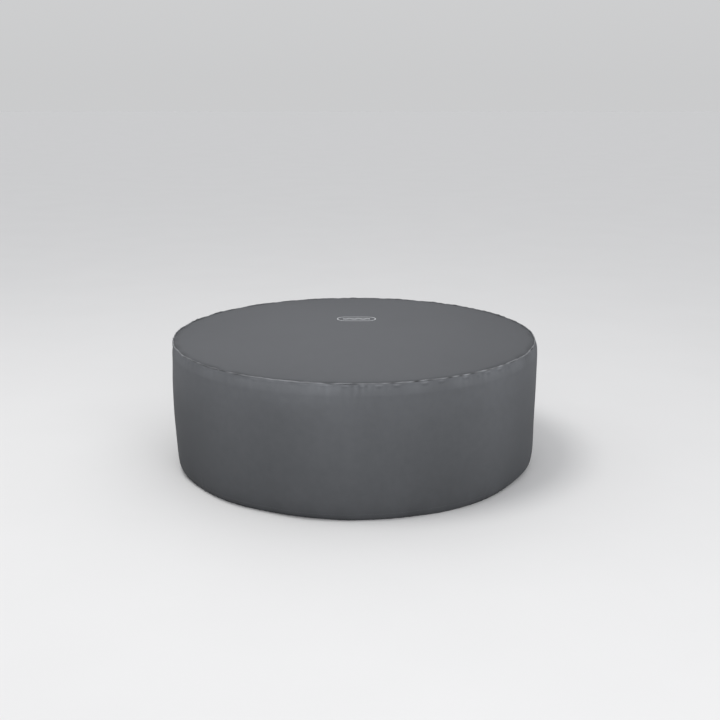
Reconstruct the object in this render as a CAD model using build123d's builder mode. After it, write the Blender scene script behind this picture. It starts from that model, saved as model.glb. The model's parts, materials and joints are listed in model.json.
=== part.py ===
"""Round inflatable hot tub: ribbed-chamber tub, inflatable lid and fitted fabric cover.

+Z is up, the front is -Y and the water and air ports are at the rear, +Y.
The origin is on the ground under the tub's centre. Lengths are in millimetres.
"""
from build123d import *
import os
from math import cos, radians, sin, sqrt

os.makedirs("parts", exist_ok=True)

# ---------------------------------------------------------------- driving dimensions
# Fitted cover, outside faces
RIM_RADIUS = 990            # at the seam round the top
RIM_HEIGHT = 686            # top edge of the skirt cloth
SKIRT_MID_RADIUS = 988
SKIRT_MID_HEIGHT = 370
TUCK_RADIUS = 979           # where the hem's elastic starts to draw the skirt in
TUCK_HEIGHT = 60
HEM_RADIUS = 966            # on the ground
CROWN_HEIGHT = 702          # middle of the top
TOP_RADIUS = 983.5          # edge of the top panel
TOP_EDGE_HEIGHT = 691
CLOTH = 2                   # coated polyester
FOAM = 4                    # insulating foam under the top cloth
LINING = 2                  # reflecting lining under the foam
SKIRT_LINING = 4
PIPING_RADIUS = 4
HEM_HEIGHT = 36
HEM_DEPTH = 8
ELASTIC_RADIUS = 2.2
LABEL = (233, 136, 34)      # width, depth and corner radius
LABEL_CENTRE = (16, 348)
LABEL_THICKNESS = 0.8

# Pump cut-out in the rear of the skirt
CUTOUT_HALF = 200
CUTOUT_SPRING = 140         # height where the arch starts to curve
BINDING = 4
REAR_PANEL = (75, 105)      # degrees: the skirt's two upright seams, each side of the cut-out

# Inflated tub
MAT_RADIUS = 930
MAT_THICKNESS = 6
TUB_INNER_RADIUS = 700
BASE_HEIGHT = MAT_THICKNESS
BULGE_RADIUS = 925          # the outer wall's widest ring
BULGE_HEIGHT = 320
BULGE_ARC = 900             # radius of the outer wall's section
BULGE_STEPS = (6, 80, 155, 230, 290, 350, 410, 475, 540, 600)  # heights of its facets' edges
SHOULDER_HEIGHT = 600       # seams between the walls and the rim panel
TUB_HEIGHT = 629.5
RIM_CREST_RADIUS = 790
SKIN = 3                    # laminated PVC, with its weld allowance
WALL_PANELS = 12            # lengths of sheet that the outer wall is welded from
BEAM_STEP = 15              # degrees between the webs inside the wall
BEAM_LOW, BEAM_HIGH = 45, 570
BUBBLE_LOW, BUBBLE_HIGH = 60, 130
BUBBLE_DEPTH = 42
BUBBLE_HOLES = 24

# Ports through the rear wall
PORT_SPREAD = 110           # water ports, each side of the middle
PORT_HEIGHT = 200
AIR_HEIGHT = 95
PORT_OUTER_END = 955
OUTER_PAD_FACE = 930
INNER_PAD_FACE = 676
PORT_INNER_END = 650
WATER_TUBE, WATER_BORE, WATER_SOCKET, WATER_SOCKET_DEPTH = 26, 19, 22, 60
AIR_TUBE, AIR_BORE, AIR_SOCKET, AIR_SOCKET_DEPTH = 20, 14, 16, 45
GASKET = 2
FLANGE = 5
RUNNING = 0.1               # radial clearance of what turns or slides

# Lid
LID_RADIUS = 929
LID_BOTTOM = 630
LID_TOP = 692
LID_SHOULDER_RADIUS = 893
LID_SHOULDER_HEIGHT = 681.5
LID_EDGE_HEIGHT = (LID_BOTTOM + LID_SHOULDER_HEIGHT) / 2
LID_SKIN = 2
ZIP_START, ZIP_END = 15, 165
STRAP_ANGLES = (200, 250, 290, 340)
TAPE = 1.5

# Valves and drain
VALVE_ANGLE, VALVE_HEIGHT = 52.5, 520
DRAIN_ANGLE, DRAIN_HEIGHT = 232.5, 32
DRAIN_TUBE, DRAIN_BORE = 14, 10


def save(builder, name):
    """Labels a finished piece and writes its file."""
    builder.part.label = name
    export_step(builder.part, f"parts/{name}.step")


def wall_radius(height):
    """Outside radius of the inflated outer wall at a height."""
    return BULGE_RADIUS - BULGE_ARC + sqrt(BULGE_ARC**2 - (height - BULGE_HEIGHT) ** 2)


def upright_plane(angle, radius, height):
    """A vertical plane facing away from the tub's axis, with its own y pointing up."""
    out = Vector(cos(radians(angle)), sin(radians(angle)), 0)
    sideways = Vector(-out.Y, out.X, 0)
    return Plane(origin=out * radius + Vector(0, 0, height), x_dir=sideways, z_dir=out)


def section_plane(angle):
    """The upright half plane that holds the tub's section at an angle."""
    out = Vector(cos(radians(angle)), sin(radians(angle)), 0)
    return Plane(origin=(0, 0, 0), x_dir=out, z_dir=Vector(out.Y, -out.X, 0))


def rear_plane(y, x=0, height=0):
    """A plane facing the rear, with its own y pointing up."""
    return Plane(origin=(x, y, height), x_dir=(-1, 0, 0), z_dir=(0, 1, 0))


def window(x_low, x_high, z_low, z_high):
    """Keeps only the part of the current section inside this rectangle."""
    with Locations(((x_low + x_high) / 2, (z_low + z_high) / 2)):
        Rectangle(x_high - x_low, z_high - z_low, mode=Mode.INTERSECT)


def skirt_layer(outer, inner, low, high, plane=Plane.XZ):
    """Section of a layer of the skirt, between two insets from its outside face."""
    with BuildSketch(plane) as section:
        with BuildLine():
            for inset in (outer, inner):
                tuck = skirt_tuck(inset)
                Polyline(
                    tuck @ 1,
                    (SKIRT_MID_RADIUS - inset, SKIRT_MID_HEIGHT),
                    (RIM_RADIUS - inset, RIM_HEIGHT),
                )
            Line((HEM_RADIUS - outer, 0), (HEM_RADIUS - inner, 0))
            Line((RIM_RADIUS - outer, RIM_HEIGHT), (RIM_RADIUS - inner, RIM_HEIGHT))
        make_face()
        window(HEM_RADIUS - 40, RIM_RADIUS + 40, low, high)
    return section.sketch


def skirt_tuck(inset):
    """The curve at the foot of the skirt, where the elastic draws it in."""
    middle = ((HEM_RADIUS + TUCK_RADIUS) / 2 + 3 - inset, TUCK_HEIGHT / 2)
    return ThreePointArc((HEM_RADIUS - inset, 0), middle, (TUCK_RADIUS - inset, TUCK_HEIGHT))


def top_layer(outer, inner, radius):
    """Section of a layer of the cover's crowned top, between two depths below its face."""
    with BuildSketch(Plane.XZ) as section:
        with BuildLine():
            face = top_curve(outer)
            back = top_curve(inner)
            Line(face @ 0, back @ 0)
            Line(face @ 1, back @ 1)
        make_face()
        window(0, radius, TOP_EDGE_HEIGHT - 40, CROWN_HEIGHT + 40)
    return section.sketch


def top_curve(depth):
    """The crowned line right across the cover's top."""
    edge = TOP_EDGE_HEIGHT - depth
    return ThreePointArc((-TOP_RADIUS, edge), (0, CROWN_HEIGHT - depth), (TOP_RADIUS, edge))


def cutout_arch(half_width):
    """Outline of the pump cut-out: straight sides under a round arch."""
    with BuildSketch(rear_plane(HEM_RADIUS - 160)) as arch:
        with Locations((0, CUTOUT_SPRING)):
            Circle(half_width)
        with Locations((0, CUTOUT_SPRING / 2 - 10)):
            Rectangle(2 * half_width, CUTOUT_SPRING + 20)
    return arch.sketch


def cut_cutout():
    """Cuts the pump cut-out from the current piece of the skirt."""
    extrude(cutout_arch(CUTOUT_HALF), amount=300, mode=Mode.SUBTRACT)


# ---------------------------------------------------------------- fitted cover
with BuildPart() as cover_top_panel:
    revolve(top_layer(0, CLOTH, TOP_RADIUS), Axis.Z)
save(cover_top_panel, "cover_top_panel")

with BuildPart() as cover_top_foam:
    revolve(top_layer(CLOTH, CLOTH + FOAM, TOP_RADIUS), Axis.Z)
save(cover_top_foam, "cover_top_foam")

with BuildPart() as cover_top_lining:
    revolve(top_layer(CLOTH + FOAM, CLOTH + FOAM + LINING, TOP_RADIUS - 4), Axis.Z)
save(cover_top_lining, "cover_top_lining")

with BuildPart() as cover_rim_piping:
    with BuildSketch(Plane.XZ):
        with Locations((RIM_RADIUS - PIPING_RADIUS / 2, RIM_HEIGHT + PIPING_RADIUS)):
            Circle(PIPING_RADIUS)
    revolve(axis=Axis.Z)
save(cover_rim_piping, "cover_rim_piping")

# The skirt is one long length of cloth and a rear panel that has the pump cut-out.
SEAM_RIGHT, SEAM_LEFT = REAR_PANEL

with BuildPart() as cover_skirt:
    revolve(
        skirt_layer(0, CLOTH, 0, RIM_HEIGHT, section_plane(SEAM_LEFT)),
        Axis.Z,
        360 - (SEAM_LEFT - SEAM_RIGHT),
    )
save(cover_skirt, "cover_skirt")

with BuildPart() as cover_rear_panel:
    revolve(
        skirt_layer(0, CLOTH, 0, RIM_HEIGHT, section_plane(SEAM_RIGHT)),
        Axis.Z,
        SEAM_LEFT - SEAM_RIGHT,
    )
    cut_cutout()
save(cover_rear_panel, "cover_rear_panel")

with BuildPart() as cover_skirt_lining:
    revolve(skirt_layer(CLOTH, CLOTH + SKIRT_LINING, HEM_HEIGHT, RIM_HEIGHT - 6), Axis.Z)
    cut_cutout()
save(cover_skirt_lining, "cover_skirt_lining")

# The hem is folded over an elastic cord and sewn; the cord lies in its channel.
ELASTIC_CENTRE = (HEM_RADIUS + 5 - HEM_DEPTH / 2 - CLOTH / 2, HEM_HEIGHT / 3)

with BuildPart() as cover_hem_band:
    revolve(skirt_layer(CLOTH, HEM_DEPTH, 0, HEM_HEIGHT), Axis.Z)
    with BuildSketch(Plane.XZ):
        with Locations(ELASTIC_CENTRE):
            Circle(ELASTIC_RADIUS)
    revolve(axis=Axis.Z, mode=Mode.SUBTRACT)
    cut_cutout()
save(cover_hem_band, "cover_hem_band")

with BuildPart() as cover_hem_elastic:
    with BuildSketch(Plane.XZ):
        with Locations(ELASTIC_CENTRE):
            Circle(ELASTIC_RADIUS)
    revolve(axis=Axis.Z)
    cut_cutout()
save(cover_hem_elastic, "cover_hem_elastic")

with BuildPart() as cover_cutout_binding:
    revolve(skirt_layer(-0.5, HEM_DEPTH, 0, CUTOUT_SPRING + CUTOUT_HALF + 20), Axis.Z)
    extrude(cutout_arch(CUTOUT_HALF), amount=300, mode=Mode.INTERSECT)
    extrude(cutout_arch(CUTOUT_HALF - BINDING), amount=300, mode=Mode.SUBTRACT)
save(cover_cutout_binding, "cover_cutout_binding")

with BuildPart() as cover_label:
    revolve(top_layer(-LABEL_THICKNESS, 0, TOP_RADIUS), Axis.Z)
    with BuildSketch(Plane.XY.offset(TOP_EDGE_HEIGHT - 20)):
        with Locations(LABEL_CENTRE):
            RectangleRounded(*LABEL)
    extrude(amount=60, mode=Mode.INTERSECT)
save(cover_label, "cover_label")


# ---------------------------------------------------------------- inflated wall
def wall_section(inset):
    """Section of the ring-shaped air chamber, moved in by inset from its outside faces."""
    with BuildSketch(Plane.XZ) as section:
        with BuildLine():
            Line((TUB_INNER_RADIUS, BASE_HEIGHT), (wall_radius(BASE_HEIGHT), BASE_HEIGHT))
            Polyline(*[(wall_radius(height), height) for height in BULGE_STEPS])
            ThreePointArc(
                (wall_radius(SHOULDER_HEIGHT), SHOULDER_HEIGHT),
                (RIM_CREST_RADIUS, TUB_HEIGHT),
                (TUB_INNER_RADIUS, SHOULDER_HEIGHT),
            )
            Line((TUB_INNER_RADIUS, SHOULDER_HEIGHT), (TUB_INNER_RADIUS, BASE_HEIGHT))
        make_face()
        if inset:
            offset(amount=-inset, kind=Kind.INTERSECTION, mode=Mode.REPLACE)
    return section.sketch


def wall_panel(x_low, x_high, z_low, z_high):
    """Section of one welded panel of the air chamber's skin."""
    with BuildSketch(Plane.XZ) as section:
        add(wall_section(0))
        add(wall_section(SKIN), mode=Mode.SUBTRACT)
        window(x_low, x_high, z_low, z_high)
    return section.sketch


def bore_through(plane, radius, length):
    """Cuts a round hole outwards from a plane."""
    with BuildSketch(plane) as hole:
        Circle(radius)
    extrude(hole.sketch, amount=length, mode=Mode.SUBTRACT)


WATER_X = (-PORT_SPREAD, PORT_SPREAD)
BASE_TOP = BASE_HEIGHT + SKIN
MIDDLE = (TUB_INNER_RADIUS + BULGE_RADIUS) / 2

with BuildPart() as outer_wall_skin:
    revolve(wall_panel(MIDDLE, BULGE_RADIUS + 1, BASE_TOP, SHOULDER_HEIGHT), Axis.Z)
    for x in WATER_X:
        bore_through(rear_plane(MIDDLE, x, PORT_HEIGHT), WATER_TUBE, 200)
    bore_through(rear_plane(MIDDLE, 0, AIR_HEIGHT), AIR_TUBE, 200)
    bore_through(upright_plane(DRAIN_ANGLE, MIDDLE, DRAIN_HEIGHT), DRAIN_TUBE, 200)
    bore_through(upright_plane(VALVE_ANGLE, MIDDLE, VALVE_HEIGHT), 14, 200)
    for seam in range(WALL_PANELS // 2):
        split(bisect_by=section_plane((seam + 0.5) * 360 / WALL_PANELS), keep=Keep.BOTH)
save(outer_wall_skin, "outer_wall_skin")

with BuildPart() as inner_wall_skin:
    revolve(wall_panel(TUB_INNER_RADIUS - 1, MIDDLE, BASE_TOP, SHOULDER_HEIGHT), Axis.Z)
    for x in WATER_X:
        bore_through(rear_plane(TUB_INNER_RADIUS - 60, x, PORT_HEIGHT), WATER_TUBE, 120)
    bore_through(rear_plane(TUB_INNER_RADIUS - 60, 0, AIR_HEIGHT), AIR_TUBE, 120)
    bore_through(upright_plane(DRAIN_ANGLE, TUB_INNER_RADIUS - 60, DRAIN_HEIGHT), DRAIN_TUBE, 120)
save(inner_wall_skin, "inner_wall_skin")

with BuildPart() as rim_panel:
    revolve(wall_panel(TUB_INNER_RADIUS - 1, BULGE_RADIUS, SHOULDER_HEIGHT, TUB_HEIGHT + 1), Axis.Z)
save(rim_panel, "rim_panel")

with BuildPart() as base_ring_panel:
    revolve(wall_panel(TUB_INNER_RADIUS - 1, BULGE_RADIUS, BASE_HEIGHT, BASE_TOP), Axis.Z)
save(base_ring_panel, "base_ring_panel")

with BuildPart() as floor_sheet:
    with BuildSketch(Plane.XY.offset(BASE_HEIGHT)):
        Circle(TUB_INNER_RADIUS)
    extrude(amount=SKIN)
save(floor_sheet, "floor_sheet")

with BuildPart() as ground_mat:
    with BuildSketch():
        Circle(MAT_RADIUS)
    extrude(amount=MAT_THICKNESS)
save(ground_mat, "ground_mat")

# The webs stop short of the seams, so that the air can pass, and leave out the port bay.
with BuildPart() as wall_beams:
    for angle in range(0, 360, BEAM_STEP):
        if angle == 90:
            continue
        with BuildSketch(section_plane(angle)):
            add(wall_section(SKIN + 0.5))
            window(TUB_INNER_RADIUS, BULGE_RADIUS, BEAM_LOW, BEAM_HIGH)
        extrude(amount=1, both=True)
save(wall_beams, "wall_beams")

with BuildPart() as bubble_ring:
    with BuildSketch(Plane.XZ):
        with BuildLine():
            for depth in (0, SKIN):
                ThreePointArc(
                    (TUB_INNER_RADIUS, BUBBLE_LOW + depth),
                    (TUB_INNER_RADIUS - BUBBLE_DEPTH + depth, (BUBBLE_LOW + BUBBLE_HIGH) / 2),
                    (TUB_INNER_RADIUS, BUBBLE_HIGH - depth),
                )
            Line((TUB_INNER_RADIUS, BUBBLE_LOW), (TUB_INNER_RADIUS, BUBBLE_LOW + SKIN))
            Line((TUB_INNER_RADIUS, BUBBLE_HIGH), (TUB_INNER_RADIUS, BUBBLE_HIGH - SKIN))
        make_face()
    revolve(axis=Axis.Z)
    for hole in range(BUBBLE_HOLES):
        angle = (hole + 0.5) * 360 / BUBBLE_HOLES
        radius = TUB_INNER_RADIUS - BUBBLE_DEPTH - 5
        bore_through(upright_plane(angle, radius, (BUBBLE_LOW + BUBBLE_HIGH) / 2), 3, 12)
save(bubble_ring, "bubble_ring")

# ---------------------------------------------------------------- ports
PAD_HALF_WIDTH = 165
OUTER_PAD_LOW, OUTER_PAD_HIGH = 50, 262
INNER_PAD_LOW, INNER_PAD_HIGH = 145, 262

with BuildPart() as outer_port_pad:
    with BuildSketch(rear_plane(OUTER_PAD_FACE)):
        with Locations((0, (OUTER_PAD_LOW + OUTER_PAD_HIGH) / 2)):
            RectangleRounded(2 * PAD_HALF_WIDTH, OUTER_PAD_HIGH - OUTER_PAD_LOW, 24)
    extrude(amount=-80)
    revolve(wall_section(0), Axis.Z, mode=Mode.SUBTRACT)
    for x in WATER_X:
        bore_through(rear_plane(MIDDLE, x, PORT_HEIGHT), WATER_TUBE, 200)
    bore_through(rear_plane(MIDDLE, 0, AIR_HEIGHT), AIR_TUBE, 200)
save(outer_port_pad, "outer_port_pad")

with BuildPart() as inner_port_pad:
    with BuildSketch(rear_plane(INNER_PAD_FACE)):
        with Locations((0, (INNER_PAD_LOW + INNER_PAD_HIGH) / 2)):
            RectangleRounded(2 * PAD_HALF_WIDTH, INNER_PAD_HIGH - INNER_PAD_LOW, 20)
    extrude(amount=60)
    with BuildSketch():
        Circle(TUB_INNER_RADIUS)
    extrude(amount=SHOULDER_HEIGHT, mode=Mode.INTERSECT)
    for x in WATER_X:
        bore_through(rear_plane(INNER_PAD_FACE - 10, x, PORT_HEIGHT), WATER_TUBE, 120)
save(inner_port_pad, "inner_port_pad")


def port_tube(x, height, inner_end, outside, bore, socket, socket_depth, flange):
    """A moulded tube through the wall, with an outer flange and a socket in its outer end."""
    with BuildPart() as tube:
        with BuildSketch(rear_plane(inner_end, x, height)):
            Circle(outside)
        extrude(amount=PORT_OUTER_END - inner_end)
        with BuildSketch(rear_plane(OUTER_PAD_FACE + GASKET, x, height)):
            Circle(flange)
        extrude(amount=FLANGE)
        bore_through(rear_plane(inner_end, x, height), bore, PORT_OUTER_END - inner_end)
        bore_through(rear_plane(PORT_OUTER_END - socket_depth, x, height), socket, socket_depth)
    return tube


water_inlet_tube = port_tube(
    -PORT_SPREAD, PORT_HEIGHT, PORT_INNER_END, WATER_TUBE, WATER_BORE, WATER_SOCKET, WATER_SOCKET_DEPTH, 40
)
save(water_inlet_tube, "water_inlet_tube")
water_outlet_tube = port_tube(
    PORT_SPREAD, PORT_HEIGHT, PORT_INNER_END, WATER_TUBE, WATER_BORE, WATER_SOCKET, WATER_SOCKET_DEPTH, 40
)
save(water_outlet_tube, "water_outlet_tube")
air_inlet_tube = port_tube(
    0, AIR_HEIGHT, TUB_INNER_RADIUS - 6, AIR_TUBE, AIR_BORE, AIR_SOCKET, AIR_SOCKET_DEPTH, 32
)
save(air_inlet_tube, "air_inlet_tube")


def port_ring(plane, inside, outside, thickness):
    """A flat ring round a port."""
    with BuildSketch(plane) as ring:
        Circle(outside)
        Circle(inside, mode=Mode.SUBTRACT)
    extrude(ring.sketch, amount=thickness)


with BuildPart() as port_gaskets:
    for x in WATER_X:
        port_ring(rear_plane(OUTER_PAD_FACE, x, PORT_HEIGHT), WATER_TUBE, 39, GASKET)
        port_ring(rear_plane(INNER_PAD_FACE - GASKET, x, PORT_HEIGHT), WATER_TUBE, 39, GASKET)
    port_ring(rear_plane(OUTER_PAD_FACE, 0, AIR_HEIGHT), AIR_TUBE, 31, GASKET)
save(port_gaskets, "port_gaskets")

NUT_THICKNESS = 9
NUT_FACE = INNER_PAD_FACE - GASKET - NUT_THICKNESS

with BuildPart() as port_lock_nuts:
    for x in WATER_X:
        with BuildSketch(rear_plane(NUT_FACE, x, PORT_HEIGHT)):
            RegularPolygon(41, 8)
            Circle(WATER_TUBE, mode=Mode.SUBTRACT)
        extrude(amount=NUT_THICKNESS)
save(port_lock_nuts, "port_lock_nuts")

# ---------------------------------------------------------------- filter and outlet screen
COLLAR_END = NUT_FACE - 2
FILTER_PLATE = 4
FILTER_RADIUS = 58
FILTER_WALL = 3
FILTER_END = 560
COLLAR_OUTSIDE = WATER_TUBE + 5


def port_collar(x):
    """The bayonet collar that turns on a water tube's inner end."""
    plane = rear_plane(PORT_INNER_END, x, PORT_HEIGHT)
    port_ring(plane, WATER_TUBE + RUNNING, COLLAR_OUTSIDE, COLLAR_END - PORT_INNER_END)


with BuildPart() as filter_base:
    port_collar(-PORT_SPREAD)
    plate = rear_plane(PORT_INNER_END - FILTER_PLATE, -PORT_SPREAD, PORT_HEIGHT)
    port_ring(plate, WATER_BORE, FILTER_RADIUS, FILTER_PLATE)
save(filter_base, "filter_base")

with BuildPart() as filter_cup:
    with BuildSketch(rear_plane(FILTER_END, -PORT_SPREAD, PORT_HEIGHT)):
        Circle(FILTER_RADIUS)
    extrude(amount=PORT_INNER_END - FILTER_PLATE - FILTER_END)
    inside = rear_plane(FILTER_END + FILTER_WALL, -PORT_SPREAD, PORT_HEIGHT)
    bore_through(inside, FILTER_RADIUS - FILTER_WALL, 200)
    with BuildSketch(rear_plane(FILTER_END, -PORT_SPREAD, PORT_HEIGHT)):
        with PolarLocations(34, 12):
            SlotOverall(28, 5)
    extrude(amount=FILTER_WALL, mode=Mode.SUBTRACT)
    with BuildSketch(Plane.XZ.offset(-(FILTER_END + 14))):
        with Locations((-PORT_SPREAD, PORT_HEIGHT)):
            with PolarLocations(FILTER_RADIUS, 16):
                Rectangle(12, 5)
    extrude(amount=-58, mode=Mode.SUBTRACT)
save(filter_cup, "filter_cup")

PLEATS = 36
PLEAT_OUTER, PLEAT_INNER, CARTRIDGE_BORE = 52, 44, 20

with BuildPart() as filter_cartridge:
    with BuildSketch(rear_plane(FILTER_END + FILTER_WALL + 1, -PORT_SPREAD, PORT_HEIGHT)):
        with BuildLine():
            step = 360 / (2 * PLEATS)
            folds = [
                Vector(PLEAT_OUTER if i % 2 else PLEAT_INNER, 0).rotate(Axis.Z, i * step)
                for i in range(2 * PLEATS)
            ]
            Polyline(*folds, close=True)
        make_face()
        Circle(CARTRIDGE_BORE, mode=Mode.SUBTRACT)
    extrude(amount=PORT_INNER_END - FILTER_PLATE - FILTER_END - FILTER_WALL - 2)
save(filter_cartridge, "filter_cartridge")

with BuildPart() as outlet_screen:
    port_collar(PORT_SPREAD)
    with BuildSketch(rear_plane(PORT_INNER_END - FILTER_PLATE, PORT_SPREAD, PORT_HEIGHT)):
        Circle(COLLAR_OUTSIDE + 7)
        for level in range(-3, 4):
            with Locations((0, level * 8)):
                SlotOverall(2 * sqrt(29**2 - (level * 8) ** 2), 4, mode=Mode.SUBTRACT)
    extrude(amount=FILTER_PLATE)
save(outlet_screen, "outlet_screen")

# ---------------------------------------------------------------- valves
VALVE_TILT = (VALVE_HEIGHT - BULGE_HEIGHT) / BULGE_ARC
VALVE_BORE = 9
WELD = 1                    # how far a valve's flange is melted into the skin


def valve_plane(lift):
    """A plane lying on the outer wall at the air valve, lifted off it along the wall's normal."""
    flat = upright_plane(VALVE_ANGLE, wall_radius(VALVE_HEIGHT), VALVE_HEIGHT)
    normal = (flat.z_dir * sqrt(1 - VALVE_TILT**2) + Vector(0, 0, VALVE_TILT)).normalized()
    return Plane(origin=flat.origin + normal * lift, x_dir=flat.x_dir, z_dir=normal)


def valve_body(plane_at, flange, neck, depth):
    """A valve's seat: a flange welded into the skin and a neck that goes through it."""
    with BuildPart() as body:
        with BuildSketch(plane_at(-WELD)):
            Circle(flange)
        extrude(amount=WELD + 3)
        with BuildSketch(plane_at(-depth)):
            Circle(neck)
        extrude(amount=depth)
        bore_through(plane_at(-depth), VALVE_BORE, depth + 4)
    return body


def valve_cap(plane_at, radius):
    """A screw cap with finger notches round it and a stem in the valve's bore."""
    with BuildPart() as cap:
        with BuildSketch(plane_at(3 + RUNNING)):
            Circle(radius)
            with PolarLocations(radius + 1, 12):
                Circle(2.4, mode=Mode.SUBTRACT)
        extrude(amount=6)
        with BuildSketch(plane_at(-8)):
            Circle(VALVE_BORE - RUNNING)
        extrude(amount=11.5)
    return cap


wall_valve_body = valve_body(valve_plane, 20, 13, 22)
save(wall_valve_body, "wall_valve_body")
wall_valve_cap = valve_cap(valve_plane, 18)
save(wall_valve_cap, "wall_valve_cap")


def drain_ring(radius, length, start):
    """A round solid on the drain's axis, from a distance out from the tub's centre."""
    with BuildSketch(upright_plane(DRAIN_ANGLE, start, DRAIN_HEIGHT)) as disc:
        Circle(radius)
    extrude(disc.sketch, amount=length)


DRAIN_IN, DRAIN_OUT = TUB_INNER_RADIUS - 10, 908
PLUG_FLANGE = 4
CAP_START = wall_radius(DRAIN_HEIGHT + 19) + 3

with BuildPart() as drain_tube:
    drain_ring(DRAIN_TUBE, DRAIN_OUT - DRAIN_IN, DRAIN_IN)
    inner_end = upright_plane(DRAIN_ANGLE, DRAIN_IN, DRAIN_HEIGHT)
    bore_through(inner_end, DRAIN_BORE, DRAIN_OUT - DRAIN_IN)
save(drain_tube, "drain_tube")

with BuildPart() as drain_cap:
    cap_plane = upright_plane(DRAIN_ANGLE, CAP_START, DRAIN_HEIGHT)
    with BuildSketch(cap_plane):
        Circle(19)
        with PolarLocations(20, 12):
            Circle(2, mode=Mode.SUBTRACT)
    extrude(amount=DRAIN_OUT + 4 - CAP_START)
    bore_through(cap_plane, DRAIN_TUBE + RUNNING, DRAIN_OUT + 0.3 - CAP_START)
save(drain_cap, "drain_cap")

with BuildPart() as drain_plug:
    drain_ring(DRAIN_TUBE + 3, PLUG_FLANGE, DRAIN_IN - PLUG_FLANGE - 0.3)
    drain_ring(DRAIN_BORE - RUNNING, 26, DRAIN_IN - 1)
save(drain_plug, "drain_plug")


# ---------------------------------------------------------------- handles and buckles on the wall
def wall_patch(angle, arc, low, high, thickness):
    """A patch welded on the outer wall."""
    with BuildSketch(Plane.XZ) as section:
        add(wall_section(-thickness))
        add(wall_section(0), mode=Mode.SUBTRACT)
        window(MIDDLE, BULGE_RADIUS + 5, low, high)
    revolve(section.sketch.rotate(Axis.Z, angle - arc / 2), Axis.Z, arc)


HANDLE_HEIGHT = 420
HANDLE_WIDTH = 38
HANDLE_REACH = 944
HANDLE_HALF = 80
WEBBING = 2
PATCH = 1.5
HANDLE_ANGLES = (0, 180)

with BuildPart() as handle_patches:
    for angle in HANDLE_ANGLES:
        wall_patch(angle, 13, HANDLE_HEIGHT - 32, HANDLE_HEIGHT + 32, PATCH)
save(handle_patches, "handle_patches")

with BuildPart() as carry_handles:
    foot = sqrt((wall_radius(HANDLE_HEIGHT) + PATCH) ** 2 - HANDLE_HALF**2)
    for angle in HANDLE_ANGLES:
        plane = Plane(
            origin=(0, 0, HANDLE_HEIGHT - HANDLE_WIDTH / 2),
            x_dir=(cos(radians(angle)), sin(radians(angle)), 0),
            z_dir=(0, 0, 1),
        )
        with BuildSketch(plane):
            with BuildLine():
                for inset in (0, WEBBING):
                    ThreePointArc(
                        (foot - inset, -HANDLE_HALF),
                        (HANDLE_REACH - inset, 0),
                        (foot - inset, HANDLE_HALF),
                    )
                for side in (-HANDLE_HALF, HANDLE_HALF):
                    Line((foot, side), (foot - WEBBING, side))
            make_face()
        extrude(amount=HANDLE_WIDTH)
    # The ends are trimmed to lie on the patches.
    revolve(wall_section(-PATCH), Axis.Z, mode=Mode.SUBTRACT)
save(carry_handles, "carry_handles")

SOCKET_LOW, SOCKET_HIGH = 298, 344
SOCKET_FACET = 290          # the wall's upright facet starts here
SOCKET_WIDTH = 40
TONGUE_WIDTH, TONGUE_THICKNESS, TONGUE_DEPTH = 26, 4, 32
STRAP_RADIUS = LID_RADIUS + TAPE           # inner face of the buckle straps
STRAP_WIDTH = 24
TONGUE_MIDDLE = STRAP_RADIUS + TAPE / 2

with BuildPart() as buckle_patches:
    for angle in STRAP_ANGLES:
        wall_patch(angle, 4.5, SOCKET_LOW - 14, SOCKET_HIGH + 10, PATCH)
save(buckle_patches, "buckle_patches")


def block(angle, width, r_low, r_high, z_low, z_high, mode=Mode.ADD):
    """A block on the wall, square to the radius at an angle."""
    with BuildSketch(upright_plane(angle, r_low, (z_low + z_high) / 2)) as face:
        Rectangle(width, z_high - z_low)
    extrude(face.sketch, amount=r_high - r_low, mode=mode)


with BuildPart() as buckle_sockets:
    for angle in STRAP_ANGLES:
        back = wall_radius(SOCKET_FACET) + PATCH
        block(angle, SOCKET_WIDTH, back, TONGUE_MIDDLE + 5, SOCKET_LOW, SOCKET_HIGH)
        block(
            angle, TONGUE_WIDTH + 2, TONGUE_MIDDLE - 2.5, TONGUE_MIDDLE + 2.5,
            SOCKET_HIGH - TONGUE_DEPTH - 2, SOCKET_HIGH + 1, Mode.SUBTRACT,
        )
save(buckle_sockets, "buckle_sockets")


# ---------------------------------------------------------------- inflatable lid
def lid_section(inset):
    """Section of the lid, moved in by inset from its outside faces, right across the axis."""
    with BuildSketch(Plane.XZ) as section:
        with BuildLine():
            Line((-LID_SHOULDER_RADIUS, LID_BOTTOM), (LID_SHOULDER_RADIUS, LID_BOTTOM))
            for side in (-1, 1):
                ThreePointArc(
                    (side * LID_SHOULDER_RADIUS, LID_BOTTOM),
                    (side * LID_RADIUS, LID_EDGE_HEIGHT),
                    (side * LID_SHOULDER_RADIUS, LID_SHOULDER_HEIGHT),
                )
            ThreePointArc(
                (-LID_SHOULDER_RADIUS, LID_SHOULDER_HEIGHT),
                (0, LID_TOP),
                (LID_SHOULDER_RADIUS, LID_SHOULDER_HEIGHT),
            )
        make_face()
        if inset:
            offset(amount=-inset, kind=Kind.INTERSECTION, mode=Mode.REPLACE)
    return section.sketch


def lid_shell(outer, inner, z_low, z_high):
    """Section of a skin of the lid between two insets."""
    with BuildSketch(Plane.XZ) as section:
        add(lid_section(outer))
        add(lid_section(inner), mode=Mode.SUBTRACT)
        window(0, LID_RADIUS + 5, z_low, z_high)
    return section.sketch


LID_VALVE_AT = (0, -600)
BLADDER_GAP = LID_SKIN + 0.5


def lid_valve_plane(lift):
    """The plane of the lid's air valve, which opens downwards from the lid's underside."""
    return Plane(
        origin=(*LID_VALVE_AT, LID_BOTTOM + BLADDER_GAP - lift), x_dir=(1, 0, 0), z_dir=(0, 0, -1)
    )


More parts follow.
